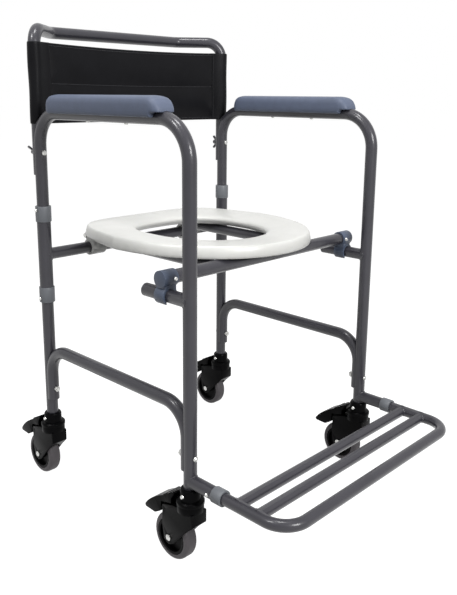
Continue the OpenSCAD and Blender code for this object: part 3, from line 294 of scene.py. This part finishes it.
def integral_skin_foam():
    """Blue-grey polyurethane arm foam: a matt moulded skin with a fine leathery grain."""
    made, tree, place = blank_material("integral_skin_foam")
    cells = add_node(tree, "ShaderNodeTexVoronoi", {"Vector": place, "Scale": per_mm(1.8)},
                     feature="SMOOTH_F1")
    cloud = add_node(tree, "ShaderNodeTexNoise", {"Vector": place, "Scale": per_mm(16), "Detail": 3.0})
    tone = add_node(tree, "ShaderNodeMix",
                    {"Factor": cloud.outputs["Fac"], MIX_A: linear("#586174"), MIX_B: linear("#646d83")},
                    data_type="RGBA")
    rough = add_node(tree, "ShaderNodeMapRange",
                     {"Value": cells.outputs["Distance"], "To Min": 0.48, "To Max": 0.62})
    grain = add_node(tree, "ShaderNodeBump",
                     {"Height": cells.outputs["Distance"], "Distance": 0.12 * MM, "Strength": 0.5})
    shader = add_node(tree, "ShaderNodeBsdfPrincipled",
                      {"Base Color": tone.outputs[MIXED], "Roughness": rough.outputs["Result"],
                       "Normal": grain.outputs["Normal"], "IOR": 1.45})
    add_node(tree, "ShaderNodeOutputMaterial", {"Surface": shader.outputs["BSDF"]})
    return made


# Thread spacing of the back's cloth, as drawn
WEAVE_MM = 1.6


def coated_nylon():
    """Black coated nylon of the back: a close plain weave under a satin coating that catches soft light on
    its crowns. The weave is drawn at 1.6 mm, coarser than the real 0.4 mm, so that it still shows."""
    made, tree, place = blank_material("coated_nylon")
    threads = {"Vector": place, "Scale": bands_per_mm(WEAVE_MM), "Distortion": 0.3}
    weft = add_node(tree, "ShaderNodeTexWave", threads, bands_direction="Z")
    warp = add_node(tree, "ShaderNodeTexWave", threads, bands_direction="X")
    weave = add_node(tree, "ShaderNodeMath", {0: weft.outputs["Fac"], 1: warp.outputs["Fac"]},
                     operation="MAXIMUM")
    cloud = add_node(tree, "ShaderNodeTexNoise", {"Vector": place, "Scale": per_mm(30), "Detail": 3.0})
    tone = add_node(tree, "ShaderNodeMix",
                    {"Factor": cloud.outputs["Fac"], MIX_A: linear("#0e0e10"), MIX_B: linear("#18181b")},
                    data_type="RGBA")
    rough = add_node(tree, "ShaderNodeMapRange",
                     {"Value": weave.outputs["Value"], "To Min": 0.46, "To Max": 0.36})
    cloth = add_node(tree, "ShaderNodeBump",
                     {"Height": weave.outputs["Value"], "Distance": 0.1 * MM, "Strength": 0.4})
    shader = add_node(tree, "ShaderNodeBsdfPrincipled",
                      {"Base Color": tone.outputs[MIXED], "Roughness": rough.outputs["Result"],
                       "Normal": cloth.outputs["Normal"], "IOR": 1.45, "Specular IOR Level": 0.1})
    add_node(tree, "ShaderNodeOutputMaterial", {"Surface": shader.outputs["BSDF"]})
    return made


def polyester_thread():
    """Twisted polyester thread, dark grey, with a dull sheen."""
    made, tree, place = blank_material("polyester_thread")
    twist = add_node(tree, "ShaderNodeTexWave", {"Vector": place, "Scale": bands_per_mm(0.8)},
                     bands_direction="DIAGONAL")
    tone = add_node(tree, "ShaderNodeMix",
                    {"Factor": twist.outputs["Fac"], MIX_A: linear("#1c1c1f"), MIX_B: linear("#37373c")},
                    data_type="RGBA")
    shader = add_node(tree, "ShaderNodeBsdfPrincipled",
                      {"Base Color": tone.outputs[MIXED], "Roughness": 0.6})
    add_node(tree, "ShaderNodeOutputMaterial", {"Surface": shader.outputs["BSDF"]})
    return made


def thermoplastic_rubber():
    """Grey thermoplastic rubber tyre: matt, with floor dust in its pores."""
    made, tree, place = blank_material("thermoplastic_rubber")
    dust = add_node(tree, "ShaderNodeTexNoise", {"Vector": place, "Scale": per_mm(5), "Detail": 4.0})
    pores = add_node(tree, "ShaderNodeTexNoise", {"Vector": place, "Scale": per_mm(1.4), "Detail": 2.0})
    tone = add_node(tree, "ShaderNodeMix",
                    {"Factor": dust.outputs["Fac"], MIX_A: linear("#433f42"), MIX_B: linear("#595558")},
                    data_type="RGBA")
    rough = add_node(tree, "ShaderNodeMapRange",
                     {"Value": dust.outputs["Fac"], "To Min": 0.5, "To Max": 0.72})
    skin = add_node(tree, "ShaderNodeBump", {"Height": pores.outputs["Fac"], "Distance": 0.06 * MM})
    shader = add_node(tree, "ShaderNodeBsdfPrincipled",
                      {"Base Color": tone.outputs[MIXED], "Roughness": rough.outputs["Result"],
                       "Normal": skin.outputs["Normal"], "IOR": 1.5})
    add_node(tree, "ShaderNodeOutputMaterial", {"Surface": shader.outputs["BSDF"]})
    return made


STEEL_TUBE = powder_coated_steel()
ZINC = zinc_plated_steel()
GREY_COLLAR = moulded_plastic("grey_polypropylene", "#6d7075", "#787b80",
                              rough=0.42, grain_mm=1.5, grain_depth_mm=0.03)
BLUE_CLIP = moulded_plastic("blue_grey_nylon", "#4c5567", "#566073",
                            rough=0.4, grain_mm=1.5, grain_depth_mm=0.03)
BLACK_CASTER = moulded_plastic("black_nylon", "#040405", "#09090a",
                               rough=0.3, grain_mm=1.2, grain_depth_mm=0.05, shine=0.04)
SEAT_WHITE = blow_moulded_polyethylene()
ARM_FOAM = integral_skin_foam()
BACK_NYLON = coated_nylon()
THREAD = polyester_thread()
TYRE_GREY = thermoplastic_rubber()
BUMPER_BLACK = moulded_plastic("black_rubber", "#202022", "#282829",
                               rough=0.65, grain_mm=1.0, grain_depth_mm=0.05)

SLOT_LOOKS = {"frame_tube": STEEL_TUBE, "zinc_steel": ZINC, "grey_plastic": GREY_COLLAR,
              "blue_grey_plastic": BLUE_CLIP, "arm_foam": ARM_FOAM, "back_textile": BACK_NYLON,
              "seat_plastic": SEAT_WHITE, "bumper_rubber": BUMPER_BLACK, "black_plastic": BLACK_CASTER,
              "tyre_rubber": TYRE_GREY}

# Edge rounding of the moulded pieces and fasteners that stay CAD solids
ROUNDED_EDGE = {"caster_fork": 1.2 * MM, "brake_pedal": 1.4 * MM, "caster_socket": 1.0 * MM,
                "wheel_core": 0.8 * MM, "seat_clip": 0.9 * MM, "seat_hinge_brackets": 1.0 * MM,
                "rear_collars": 0.7 * MM, "footrest_collars": 0.7 * MM, "stub_plugs": 0.6 * MM,
                "wing_nut": 0.5 * MM, "stretcher_bolts": 0.4 * MM, "back_bolts": 0.4 * MM,
                "caster_axle": 0.4 * MM, "tube_screws": 0.3 * MM, "arm_screws": 0.3 * MM}

# Angles between faces from which their edge is rounded, and from which it is shaded as sharp
ROUNDED_FROM = math.radians(40)
SHARP_FROM = math.radians(38)


def dress_solid(node, look):
    """Finish on a carried-over solid: smooth round faces, and the edge rounding of its family."""
    piece = NODES[node]
    dress(piece, look)
    weld = piece.modifiers.new("join_triangles", "WELD")
    weld.merge_threshold = MERGE
    for family, width in ROUNDED_EDGE.items():
        if node.startswith(family):
            edge = piece.modifiers.new("rounded_edges", "BEVEL")
            edge.limit_method = "ANGLE"
            edge.angle_limit = ROUNDED_FROM
            edge.width = width
            edge.segments = 2
            edge.use_clamp_overlap = True
    split = piece.modifiers.new("keep_sharp_edges", "EDGE_SPLIT")
    split.split_angle = SHARP_FROM


for row in frame["record"]["subparts"]:
    dress_solid(row["node"], SLOT_LOOKS[row["material_slot"]])


# Back cover: its packed box, the posts inside its pockets, and the seams between pockets and panel
COVER_LOW, COVER_HIGH = [Vector(c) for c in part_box("back_cover")]
COVER_RISE = COVER_HIGH.z - COVER_LOW.z
COVER_MIDDLE_Z = (COVER_LOW.z + COVER_HIGH.z) / 2
COVER_DIP = 4 * MM
POST_X = COVER_HIGH.x - (COVER_HIGH.y - COVER_LOW.y) / 2
POST_Y = (COVER_LOW.y + COVER_HIGH.y) / 2
SEAM_INSET = 24 * MM
SEAM_X = POST_X - SEAM_INSET

# Panel between the seams. Its sewn rows are the lower hem, the cross seam and the upper hem
PANEL_COLUMNS = 84
PANEL_ROWS = 28
SEWN_ROWS = (1, 14, 27)
SEWN_ROW_REACH = 1 * MM
SEWN_EDGE = 4 * MM
PANEL_HALF = 2.2 * MM
PANEL_PRESSURE = 26
PANEL_SWELL = 7 * MM
BLOWING_FRAMES = 20
# Share of the panel's thickness that is left where it is sewn
SEWN_SHARE = 0.4


def inflate(piece, pinned, pressure, cap):
    """Blows a closed cloth up a little between its pinned lines, no point further than cap."""
    before = [v.co.copy() for v in piece.data.vertices]
    group = piece.vertex_groups.new(name="pinned")
    group.add([v.index for v in piece.data.vertices if pinned(v.co)], 1.0, "REPLACE")
    hold(piece)
    cloth = piece.modifiers.new("cloth", "CLOTH")
    cloth.settings.use_pressure = True
    cloth.settings.uniform_pressure_force = pressure
    cloth.settings.effector_weights.gravity = 0
    cloth.settings.vertex_group_mass = "pinned"
    cloth.settings.mass = 0.003
    cloth.settings.quality = 6
    cloth.settings.tension_stiffness = 8
    cloth.settings.compression_stiffness = 8
    for step in range(1, BLOWING_FRAMES + 1):
        bpy.context.scene.frame_set(step)
    bpy.ops.object.modifier_apply(modifier="cloth")
    bpy.context.scene.frame_set(1)
    for point, old in zip(piece.data.vertices, before):
        move = point.co - old
        if move.length > cap:
            point.co = old + move * (cap / move.length)
    piece.vertex_groups.clear()


def row_height(x, row):
    """Height of a row of the panel. The cover's upper edge hangs a little below its corners."""
    dip = COVER_DIP * max(0.0, 1 - (x / SEAM_X) ** 2)
    return COVER_LOW.z + (COVER_RISE - dip) * row / PANEL_ROWS


def sewn(co):
    """True on the panel's outer edges and its sewn rows."""
    if abs(co.x) > SEAM_X - SEWN_EDGE:
        return True
    if co.z < row_height(co.x, 1) or co.z > row_height(co.x, PANEL_ROWS - 1):
        return True
    return any(abs(co.z - row_height(co.x, row)) < SEWN_ROW_REACH for row in SEWN_ROWS)


def back_panel():
    """The padded panel between the pocket seams, blown up between its hems and its cross seam."""
    middle = (0, POST_Y, COVER_MIDDLE_Z)
    bpy.ops.mesh.primitive_grid_add(x_subdivisions=PANEL_COLUMNS, y_subdivisions=PANEL_ROWS, size=1,
                                    rotation=(math.pi / 2, 0, 0), location=middle)
    piece = name_new("back_panel")
    edit_all(piece)
    bpy.ops.transform.resize(value=(2 * SEAM_X, 1, COVER_RISE), center_override=middle)
    deselect()
    for point in piece.data.vertices:
        point.co.z = row_height(point.co.x, (point.co.z - COVER_LOW.z) / COVER_RISE * PANEL_ROWS)
    apply_modifier(piece, "layers", "SOLIDIFY", thickness=2 * PANEL_HALF, offset=0)
    outward(piece)
    for point in piece.data.vertices:
        if sewn(point.co):
            point.co.y = POST_Y + SEWN_SHARE * (point.co.y - POST_Y)
    inflate(piece, sewn, PANEL_PRESSURE, PANEL_SWELL)
    apply_modifier(piece, "smooth_cloth", "SUBSURF", levels=1, render_levels=1)
    finish_piece(piece, "frame", "back_textile", BACK_NYLON, "back_cover")


# Pockets: sleeves of cloth round the posts, each pulled in to a pinched seam with the panel
CLOTH = 1.1 * MM
POCKET_ROOM = 1.2 * MM
POCKET_R = TUBE_R + POCKET_ROOM
POCKET_SIDES = 40
POCKET_ROWS = 28
SEAM_LAP = 6 * MM
SEAM_HALF_GAP = 2.6 * MM
PINCH_SHARE = 0.8
PULL_POWER = 4
# Slack folds, with their waves in radians over the pocket's height and over its radius
SLACK = 0.5 * MM
SLACK_UP = 9
SLACK_ACROSS = 2
# Room between the pockets and the uprights' bends, and the small steps that make it
BEND_ROOM = 1.6 * MM
PUSH_STEP = 0.4 * MM
PUSH_STEPS = 40


def clear_of_bend(co):
    """Pushes a point of a pocket back until it clears the upright's upper bend."""
    centre_y = REAR_Y - REAR_BEND_R
    centre_z = ARM_Z - REAR_BEND_R
    upright_x = math.copysign(LEG_X, co.x)
    for _ in range(PUSH_STEPS):
        reach = math.hypot(co.y - centre_y, co.z - centre_z) - REAR_BEND_R
        if math.hypot(reach, co.x - upright_x) >= TUBE_R + BEND_ROOM:
            return
        co.y += PUSH_STEP


def back_pocket(side, name):
    """The sleeve of cloth round a back post, drawn together at its seam with the panel."""
    bpy.ops.mesh.primitive_cylinder_add(vertices=POCKET_SIDES, radius=POCKET_R, depth=COVER_RISE,
                                        end_fill_type="NOTHING",
                                        location=(side * POST_X, POST_Y, COVER_MIDDLE_Z))
    piece = name_new(name)
    for row in range(1, POCKET_ROWS):
        edit_all(piece)
        bpy.ops.mesh.bisect(plane_co=(0, 0, COVER_LOW.z + COVER_RISE * row / POCKET_ROWS),
                            plane_no=(0, 0, 1))
    deselect()
    stretch = POST_X - SEAM_X + SEAM_LAP - POCKET_R
    for point in piece.data.vertices:
        inward = -side * (point.co.x - side * POST_X)
        across = point.co.y - POST_Y
        if inward > 0:
            pull = (inward / POCKET_R) ** PULL_POWER
            pinched = across * (1 - PINCH_SHARE * pull)
            point.co.x = side * (POST_X - inward - pull * stretch)
            point.co.y = POST_Y + pinched + math.copysign(SEAM_HALF_GAP, across) * pull
        up = (point.co.z - COVER_LOW.z) / COVER_RISE
        point.co.x += side * SLACK * math.sin(SLACK_UP * up + SLACK_ACROSS * across / POCKET_R)
        clear_of_bend(point.co)
    edit_all(piece)
    bpy.ops.mesh.normals_make_consistent(inside=False)
    deselect()
    apply_modifier(piece, "cloth_thickness", "SOLIDIFY", thickness=CLOTH, offset=0)
    apply_modifier(piece, "soft_folds", "SUBSURF", levels=1, render_levels=1)
    finish_piece(piece, "frame", "back_textile", BACK_NYLON)


# Stitches: their thread and spacing, and how many places the seams leave free at their ends
STITCH_PITCH = 4 * MM
STITCH_LENGTH = 2.6 * MM
THREAD_R = 0.5 * MM
THREAD_END_R = 0.3 * MM
THREAD_LIFT = 0.2 * MM
SEAM_STITCH_INSET = 2 * MM
SEAM_FREE_BELOW = 3
SEAM_FREE_ABOVE = 2


def stitch_places():
    """Where each stitch lies on both of the panel's faces, and its turn from the hems' direction."""
    places = []
    lay = SEWN_SHARE * PANEL_HALF + THREAD_LIFT
    for y in (POST_Y - lay, POST_Y + lay):
        for step in range(int(-SEAM_X / STITCH_PITCH) + 1, int(SEAM_X / STITCH_PITCH)):
            x = step * STITCH_PITCH
            for row in SEWN_ROWS:
                places.append((Vector((x, y, row_height(x, row))), 0))
        for step in range(SEAM_FREE_BELOW, int(COVER_RISE / STITCH_PITCH) - SEAM_FREE_ABOVE):
            z = COVER_LOW.z + step * STITCH_PITCH
            for side in (-1, 1):
                places.append((Vector((side * (SEAM_X - SEAM_STITCH_INSET), y, z)), math.pi / 2))
    return places


def cover_stitching():
    """Lockstitch along the panel's hems and seams: short drawn-in threads."""
    bpy.ops.mesh.primitive_cylinder_add(vertices=8, radius=THREAD_R, depth=STITCH_LENGTH,
                                        rotation=(0, math.pi / 2, 0))
    first = name_new("cover_stitching")
    pick_edges(first, lambda a, b: abs(a.x - b.x) < NEAR)
    bpy.ops.mesh.bevel(offset=THREAD_END_R, segments=2, affect="EDGES")
    deselect()
    copies = []
    for at, turn in stitch_places():
        made = bpy.data.objects.new("stitch", first.data.copy())
        made.data.transform(Matrix.Translation(at) @ Matrix.Rotation(turn, 4, "Y"))
        bpy.context.scene.collection.objects.link(made)
        copies.append(made)
    bpy.data.objects.remove(first)
    hold(copies[0])
    for made in copies:
        made.select_set(True)
    bpy.ops.object.join()
    piece = name_new("cover_stitching")
    finish_piece(piece, "frame", "back_textile", THREAD)


# Arm foam: the notch under its front end, its room round the tube, and how far its ends are drawn in
NOTCH_DEPTH = 22 * MM
NOTCH_RISE = 7.5 * MM
NOTCH_R = 6 * MM
FOAM_CELL = 2 * MM
FOAM_ROOM = 0.5 * MM
END_REACH = 60 * MM
FRONT_DRAWN_IN = 12 * MM
REAR_DRAWN_IN = 20 * MM


def clear_of_arm_tube(co):
    """Moves a point of the foam out to the arm tube's skin, along the tube's straight run and both bends."""
    axis_x = math.copysign(LEG_X, co.x)
    bend_y, bend_r = co.y, 0
    if co.y < FRONT_Y + FRONT_BEND_R:
        bend_y, bend_r = FRONT_Y + FRONT_BEND_R, FRONT_BEND_R
    elif co.y > REAR_Y - REAR_BEND_R:
        bend_y, bend_r = REAR_Y - REAR_BEND_R, REAR_BEND_R
    centre = Vector((axis_x, bend_y, ARM_Z - bend_r))
    if bend_r:
        arm = Vector((0, co.y - centre.y, co.z - centre.z))
        centre += arm.normalized() * bend_r
    away = co - centre
    if away.length < TUBE_R + FOAM_ROOM:
        co += away.normalized() * (TUBE_R + FOAM_ROOM - away.length)


def arm_pad(name, node):
    """Moulded foam pad over the arm tube: round ends, a soft upper edge, and a notch for the tube's bend."""
    low, high = [Vector(c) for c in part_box(node)]
    piece = copy_solid(node, name)
    lower_front = ((low.x + high.x) / 2, low.y, low.z)
    bpy.ops.mesh.primitive_cube_add(size=1, location=lower_front)
    notch = name_new("notch")
    edit_all(notch)
    bpy.ops.transform.resize(value=(2 * (high.x - low.x), 2 * NOTCH_DEPTH, 2 * NOTCH_RISE),
                             center_override=lower_front)
    pick_edges(notch, lambda a, b: min(a.y, b.y) > low.y and min(a.z, b.z) > low.z)
    bpy.ops.mesh.bevel(offset=NOTCH_R, segments=5, affect="EDGES")
    deselect()
    apply_modifier(piece, "bend_notch", "BOOLEAN", operation="DIFFERENCE", object=notch, solver="EXACT")
    bpy.data.objects.remove(notch)
    apply_modifier(piece, "foam", "REMESH", mode="VOXEL", voxel_size=FOAM_CELL)
    apply_modifier(piece, "mould_radius", "SMOOTH", factor=0.5, iterations=5)
    for point in piece.data.vertices:
        from_front = point.co.y - low.y
        from_rear = high.y - point.co.y
        if from_front < END_REACH:
            point.co.y += FRONT_DRAWN_IN * (1 - from_front / END_REACH)
        elif from_rear < END_REACH:
            point.co.y -= REAR_DRAWN_IN * (1 - from_rear / END_REACH)
        clear_of_arm_tube(point.co)
    finish_piece(piece, "frame", "arm_foam", ARM_FOAM, node)


# Ring seat: where its outline is widest, and how square its front and packed rear are
WIDEST_SHARE = 0.565
FRONT_SQUARENESS = 2.05
PACKED_REAR_SQUARENESS = 2.7
SEAT_CELL = 2.5 * MM
# How its rear is drawn in, which starts and is complete at shares of the way out to the outline
REAR_SQUARENESS = 5
REAR_DRAWN_BACK = 13 * MM
REAR_NARROW_SHARE = 0.17
REAR_START_SHARE = 0.62
REAR_RAMP_SHARE = 0.3
# How its rim is filled out, in the same way
RIM_FILL_SHARE = 0.9
RIM_START_SHARE = 0.82
RIM_RAMP_SHARE = 0.15


def oval_reach(turn, half_w, depth, squareness):
    """Distance from the middle of the seat's widest line to its outline. Squareness 2 is an ellipse."""
    wide = abs(math.cos(turn) / half_w) ** squareness
    deep = abs(math.sin(turn) / depth) ** squareness
    return (wide + deep) ** (-1 / squareness)


def ring_seat():
    """Blow moulded seat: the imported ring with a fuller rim, and with a straighter and narrower rear."""
    low, high = [Vector(c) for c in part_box("seat")]
    half_w = (high.x - low.x) / 2
    widest = low.y + WIDEST_SHARE * (high.y - low.y)
    middle_z = (low.z + high.z) / 2
    piece = copy_solid("seat", "ring_seat")
    apply_modifier(piece, "blown_skin", "REMESH", mode="VOXEL", voxel_size=SEAT_CELL)
    for point in piece.data.vertices:
        back = point.co.y - widest
        turn = math.atan2(back, abs(point.co.x))
        depth, squareness = widest - low.y, FRONT_SQUARENESS
        if back > 0:
            depth, squareness = high.y - widest, PACKED_REAR_SQUARENESS
        packed = oval_reach(turn, half_w, depth, squareness)
        share = math.hypot(point.co.x, back) / packed
        full = 1 + RIM_FILL_SHARE * ramp(share, RIM_START_SHARE, RIM_RAMP_SHARE)
        point.co.z = min(high.z, max(low.z, middle_z + (point.co.z - middle_z) * full))
        if back > 0:
            real_depth = depth - REAR_DRAWN_BACK
            real = oval_reach(turn, half_w, real_depth, REAR_SQUARENESS)
            out = ramp(share, REAR_START_SHARE, REAR_RAMP_SHARE)
            ease = out * out * (3 - 2 * out)
            grow = 1 + (real / packed - 1) * ease
            narrow = 1 - REAR_NARROW_SHARE * ease * back * grow / real_depth
            point.co.x *= grow * narrow
            point.co.y = widest + back * grow
    apply_modifier(piece, "mould_radius", "SMOOTH", factor=0.5, iterations=5)
    finish_piece(piece, "seat", "seat_plastic", SEAT_WHITE, "seat")


# Weld beads: their own size and ripple
BEAD_R = 1.6 * MM
BEAD_ROOM = 0.2 * MM
BEAD_RIPPLE = 0.15 * MM
BEAD_RIPPLES = 22

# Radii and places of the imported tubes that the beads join
FOOTREST_R = 9.5 * MM
FOOT_BAR_R = 9 * MM
FOOT_BAR_INSET = 101 * MM
FOOT_BAR_PITCH = 40 * MM
SOCKET_R = 10.9 * MM
STUB_R = 10.8 * MM
STUB_Z = 443 * MM
SLEEVE_R = 12.7 * MM
CROSS_TUBE_R = 11 * MM
CROSS_TUBE_Z = 452.5 * MM
CROSSBAR_Z = 469.5 * MM
CROSSBAR_INSET = 55 * MM
RAIL_R = 10 * MM
RAIL_X = 121 * MM


def weld_bead(name, at, along, around, bar_r, tube_r, body):
    """Fillet weld where a bar runs square into a tube: a ring laid over the saddle that they make."""
    bpy.ops.mesh.primitive_torus_add(major_radius=bar_r + BEAD_ROOM, minor_radius=BEAD_R,
                                     major_segments=56, minor_segments=10, location=at,
                                     rotation=Vector((0, 0, 1)).rotation_difference(along).to_euler())
    piece = name_new(name)
    sideways = along.cross(around)
    for point in piece.data.vertices:
        rel = point.co - at
        aside = rel.dot(sideways)
        ripple = BEAD_RIPPLE * math.sin(BEAD_RIPPLES * math.atan2(aside, rel.dot(around)))
        point.co += along * (math.sqrt(max(tube_r ** 2 - aside ** 2, 0)) + ripple)
    outward(piece)
    finish_piece(piece, body, "frame_tube", STEEL_TUBE)


def all_beads():
    """Beads of the footrest's bars, the sockets, the stubs, the rear cross tube and the seat's rails."""
    foot_z = sum(c[2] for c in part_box("footrest")) / 2
    crossbar_y = FRONT_Y + CROSSBAR_INSET
    ahead = Vector((0, -1, 0))
    up = Vector((0, 0, 1))
    across = Vector((1, 0, 0))
    for side, word in ((LEFT, "left"), (-LEFT, "right")):
        x = side * LEG_X
        inward = -side * across
        for count in (1, 2):
            bar_y = FRONT_Y - FOOT_BAR_INSET - (count - 1) * FOOT_BAR_PITCH
            weld_bead(f"foot_bar_bead_{word}_{count}", Vector((x, bar_y, foot_z)), inward, ahead,
                      FOOT_BAR_R, FOOTREST_R, "footrest")
        weld_bead(f"socket_bead_{word}", Vector((x, FRONT_Y, foot_z)), ahead, up,
                  SOCKET_R, TUBE_R, "frame")
        weld_bead(f"stub_bead_{word}", Vector((x, FRONT_Y, STUB_Z)), -ahead, up,
                  STUB_R, TUBE_R, "frame")
        weld_bead(f"cross_tube_bead_{word}", Vector((x, REAR_Y, CROSS_TUBE_Z)), inward, up,
                  CROSS_TUBE_R, SLEEVE_R, "frame")
        weld_bead(f"rail_bead_{word}", Vector((side * RAIL_X, crossbar_y, CROSSBAR_Z)), -ahead, across,
                  RAIL_R, TUBE_R, "frame")


back_panel()
back_pocket(LEFT, "back_pocket_left")
back_pocket(-LEFT, "back_pocket_right")
cover_stitching()
arm_pad("arm_foam_left", "arm_pad_left")
arm_pad("arm_foam_right", "arm_pad_right")
ring_seat()
all_beads()


# Camera: where the photograph was taken from
IMAGE_W = 457
IMAGE_H = 595
FOCAL_PX = 716.9
CENTRE_PX = (224.7, 254.8)
CAMERA_FROM_LEGS = Vector((-0.9353, -0.7543, 0.7445))
YAW = 0.79882
PITCH = 0.21881
ROLL = 0.00829


def place_camera():
    """The photograph's camera, placed from the floor midway between the front legs."""
    data = bpy.data.cameras.new("camera")
    data.sensor_fit = "AUTO"
    data.lens = FOCAL_PX * data.sensor_width / IMAGE_H
    data.shift_x = (IMAGE_W / 2 - CENTRE_PX[0]) / IMAGE_H
    data.shift_y = (CENTRE_PX[1] - IMAGE_H / 2) / IMAGE_H
    data.clip_end = 100
    ahead = Vector((math.sin(YAW) * math.cos(PITCH), math.cos(YAW) * math.cos(PITCH), -math.sin(PITCH)))
    level = Vector((math.cos(YAW), -math.sin(YAW), 0))
    above = level.cross(ahead)
    right = level * math.cos(ROLL) + above * math.sin(ROLL)
    up = above * math.cos(ROLL) - level * math.sin(ROLL)
    made = bpy.data.objects.new("camera", data)
    at = CAMERA_FROM_LEGS + Vector((0, FRONT_Y, 0))
    made.matrix_world = Matrix.Translation(at) @ Matrix((right, up, -ahead)).transposed().to_4x4()
    bpy.context.scene.collection.objects.link(made)
    bpy.context.scene.camera = made


# Floor and light
AMBIENT = 0.17
FLOOR_SIZE = 60
FLOOR_DROP = 0.5 * MM
# Share of the floor's look that is its own glow, and the share of light that its paper gives back
GLOW_SHARE = 0.55
PAPER_SHARE = 0.9


def white_floor():
    """Pale paper sweep: white to the camera, with the chair's own soft shadow left on it."""
    bpy.ops.mesh.primitive_plane_add(size=FLOOR_SIZE, location=(0, 0, -FLOOR_DROP))
    floor = bpy.context.object
    floor.name = "floor"
    made = bpy.data.materials.new("white_paper")
    made.use_nodes = True
    tree = made.node_tree
    tree.nodes.clear()
    path = add_node(tree, "ShaderNodeLightPath")
    seen = add_node(tree, "ShaderNodeMath",
                    {0: path.outputs["Is Camera Ray"], 1: path.outputs["Is Glossy Ray"]},
                    operation="MAXIMUM", use_clamp=True)
    lit = add_node(tree, "ShaderNodeMath", {0: seen.outputs["Value"], 1: GLOW_SHARE}, operation="MULTIPLY")
    # Less light comes back up from the sweep than the camera sees on it, so the tubes' undersides stay dark
    tone = add_node(tree, "ShaderNodeMix",
                    {"Factor": seen.outputs["Value"], MIX_A: linear("#686868"), MIX_B: linear("#f4f4f4")},
                    data_type="RGBA")
    paper = add_node(tree, "ShaderNodeBsdfDiffuse", {"Color": tone.outputs[MIXED]})
    # The glow makes up what the world's soft light on the paper falls short of white
    strength = (1 - (1 - GLOW_SHARE) * PAPER_SHARE * AMBIENT) / GLOW_SHARE
    glow = add_node(tree, "ShaderNodeEmission", {"Color": linear("#ffffff"), "Strength": strength})
    both = add_node(tree, "ShaderNodeMixShader",
                    {0: lit.outputs["Value"], 1: paper.outputs["BSDF"], 2: glow.outputs["Emission"]})
    add_node(tree, "ShaderNodeOutputMaterial", {"Surface": both.outputs["Shader"]})
    floor.data.materials.append(made)


def studio_world():
    """White to the camera and in reflections, and an even soft light for everything else."""
    world = bpy.data.worlds.new("studio")
    bpy.context.scene.world = world
    world.use_nodes = True
    tree = world.node_tree
    tree.nodes.clear()
    path = add_node(tree, "ShaderNodeLightPath")
    seen = add_node(tree, "ShaderNodeMath",
                    {0: path.outputs["Is Camera Ray"], 1: path.outputs["Is Glossy Ray"]},
                    operation="MAXIMUM")
    shown = add_node(tree, "ShaderNodeMath",
                     {0: seen.outputs["Value"], 1: path.outputs["Is Transmission Ray"]},
                     operation="MAXIMUM")
    soft = add_node(tree, "ShaderNodeBackground", {"Color": linear("#ffffff"), "Strength": AMBIENT})
    white = add_node(tree, "ShaderNodeBackground", {"Color": linear("#ffffff"), "Strength": 1.0})
    both = add_node(tree, "ShaderNodeMixShader",
                    {0: shown.outputs["Value"], 1: soft.outputs["Background"],
                     2: white.outputs["Background"]})
    add_node(tree, "ShaderNodeOutputWorld", {"Surface": both.outputs["Shader"]})


def soft_light(name, at, aim, width, watts):
    """A square panel lamp at a place, turned to face its aim."""
    data = bpy.data.lights.new(name, "AREA")
    data.shape = "RECTANGLE"
    data.size = width
    data.size_y = width
    data.energy = watts
    lamp = bpy.data.objects.new(name, data)
    bpy.context.scene.collection.objects.link(lamp)
    lamp.location = at
    lamp.rotation_euler = (Vector(aim) - Vector(at)).to_track_quat("-Z", "Y").to_euler()


place_camera()
white_floor()
studio_world()
soft_light("overhead_panel", at=(-0.3, -0.2, 2.7), aim=(0, 0, 0.4), width=0.5, watts=19)
soft_light("left_panel", at=(-1.7, 0.2, 2.4), aim=(0, 0, 0.4), width=0.5, watts=24)
soft_light("front_panel", at=(-0.4, -2.6, 1.7), aim=(0, 0, 0.5), width=0.9, watts=60)

bpy.context.scene.view_settings.view_transform = "Standard"
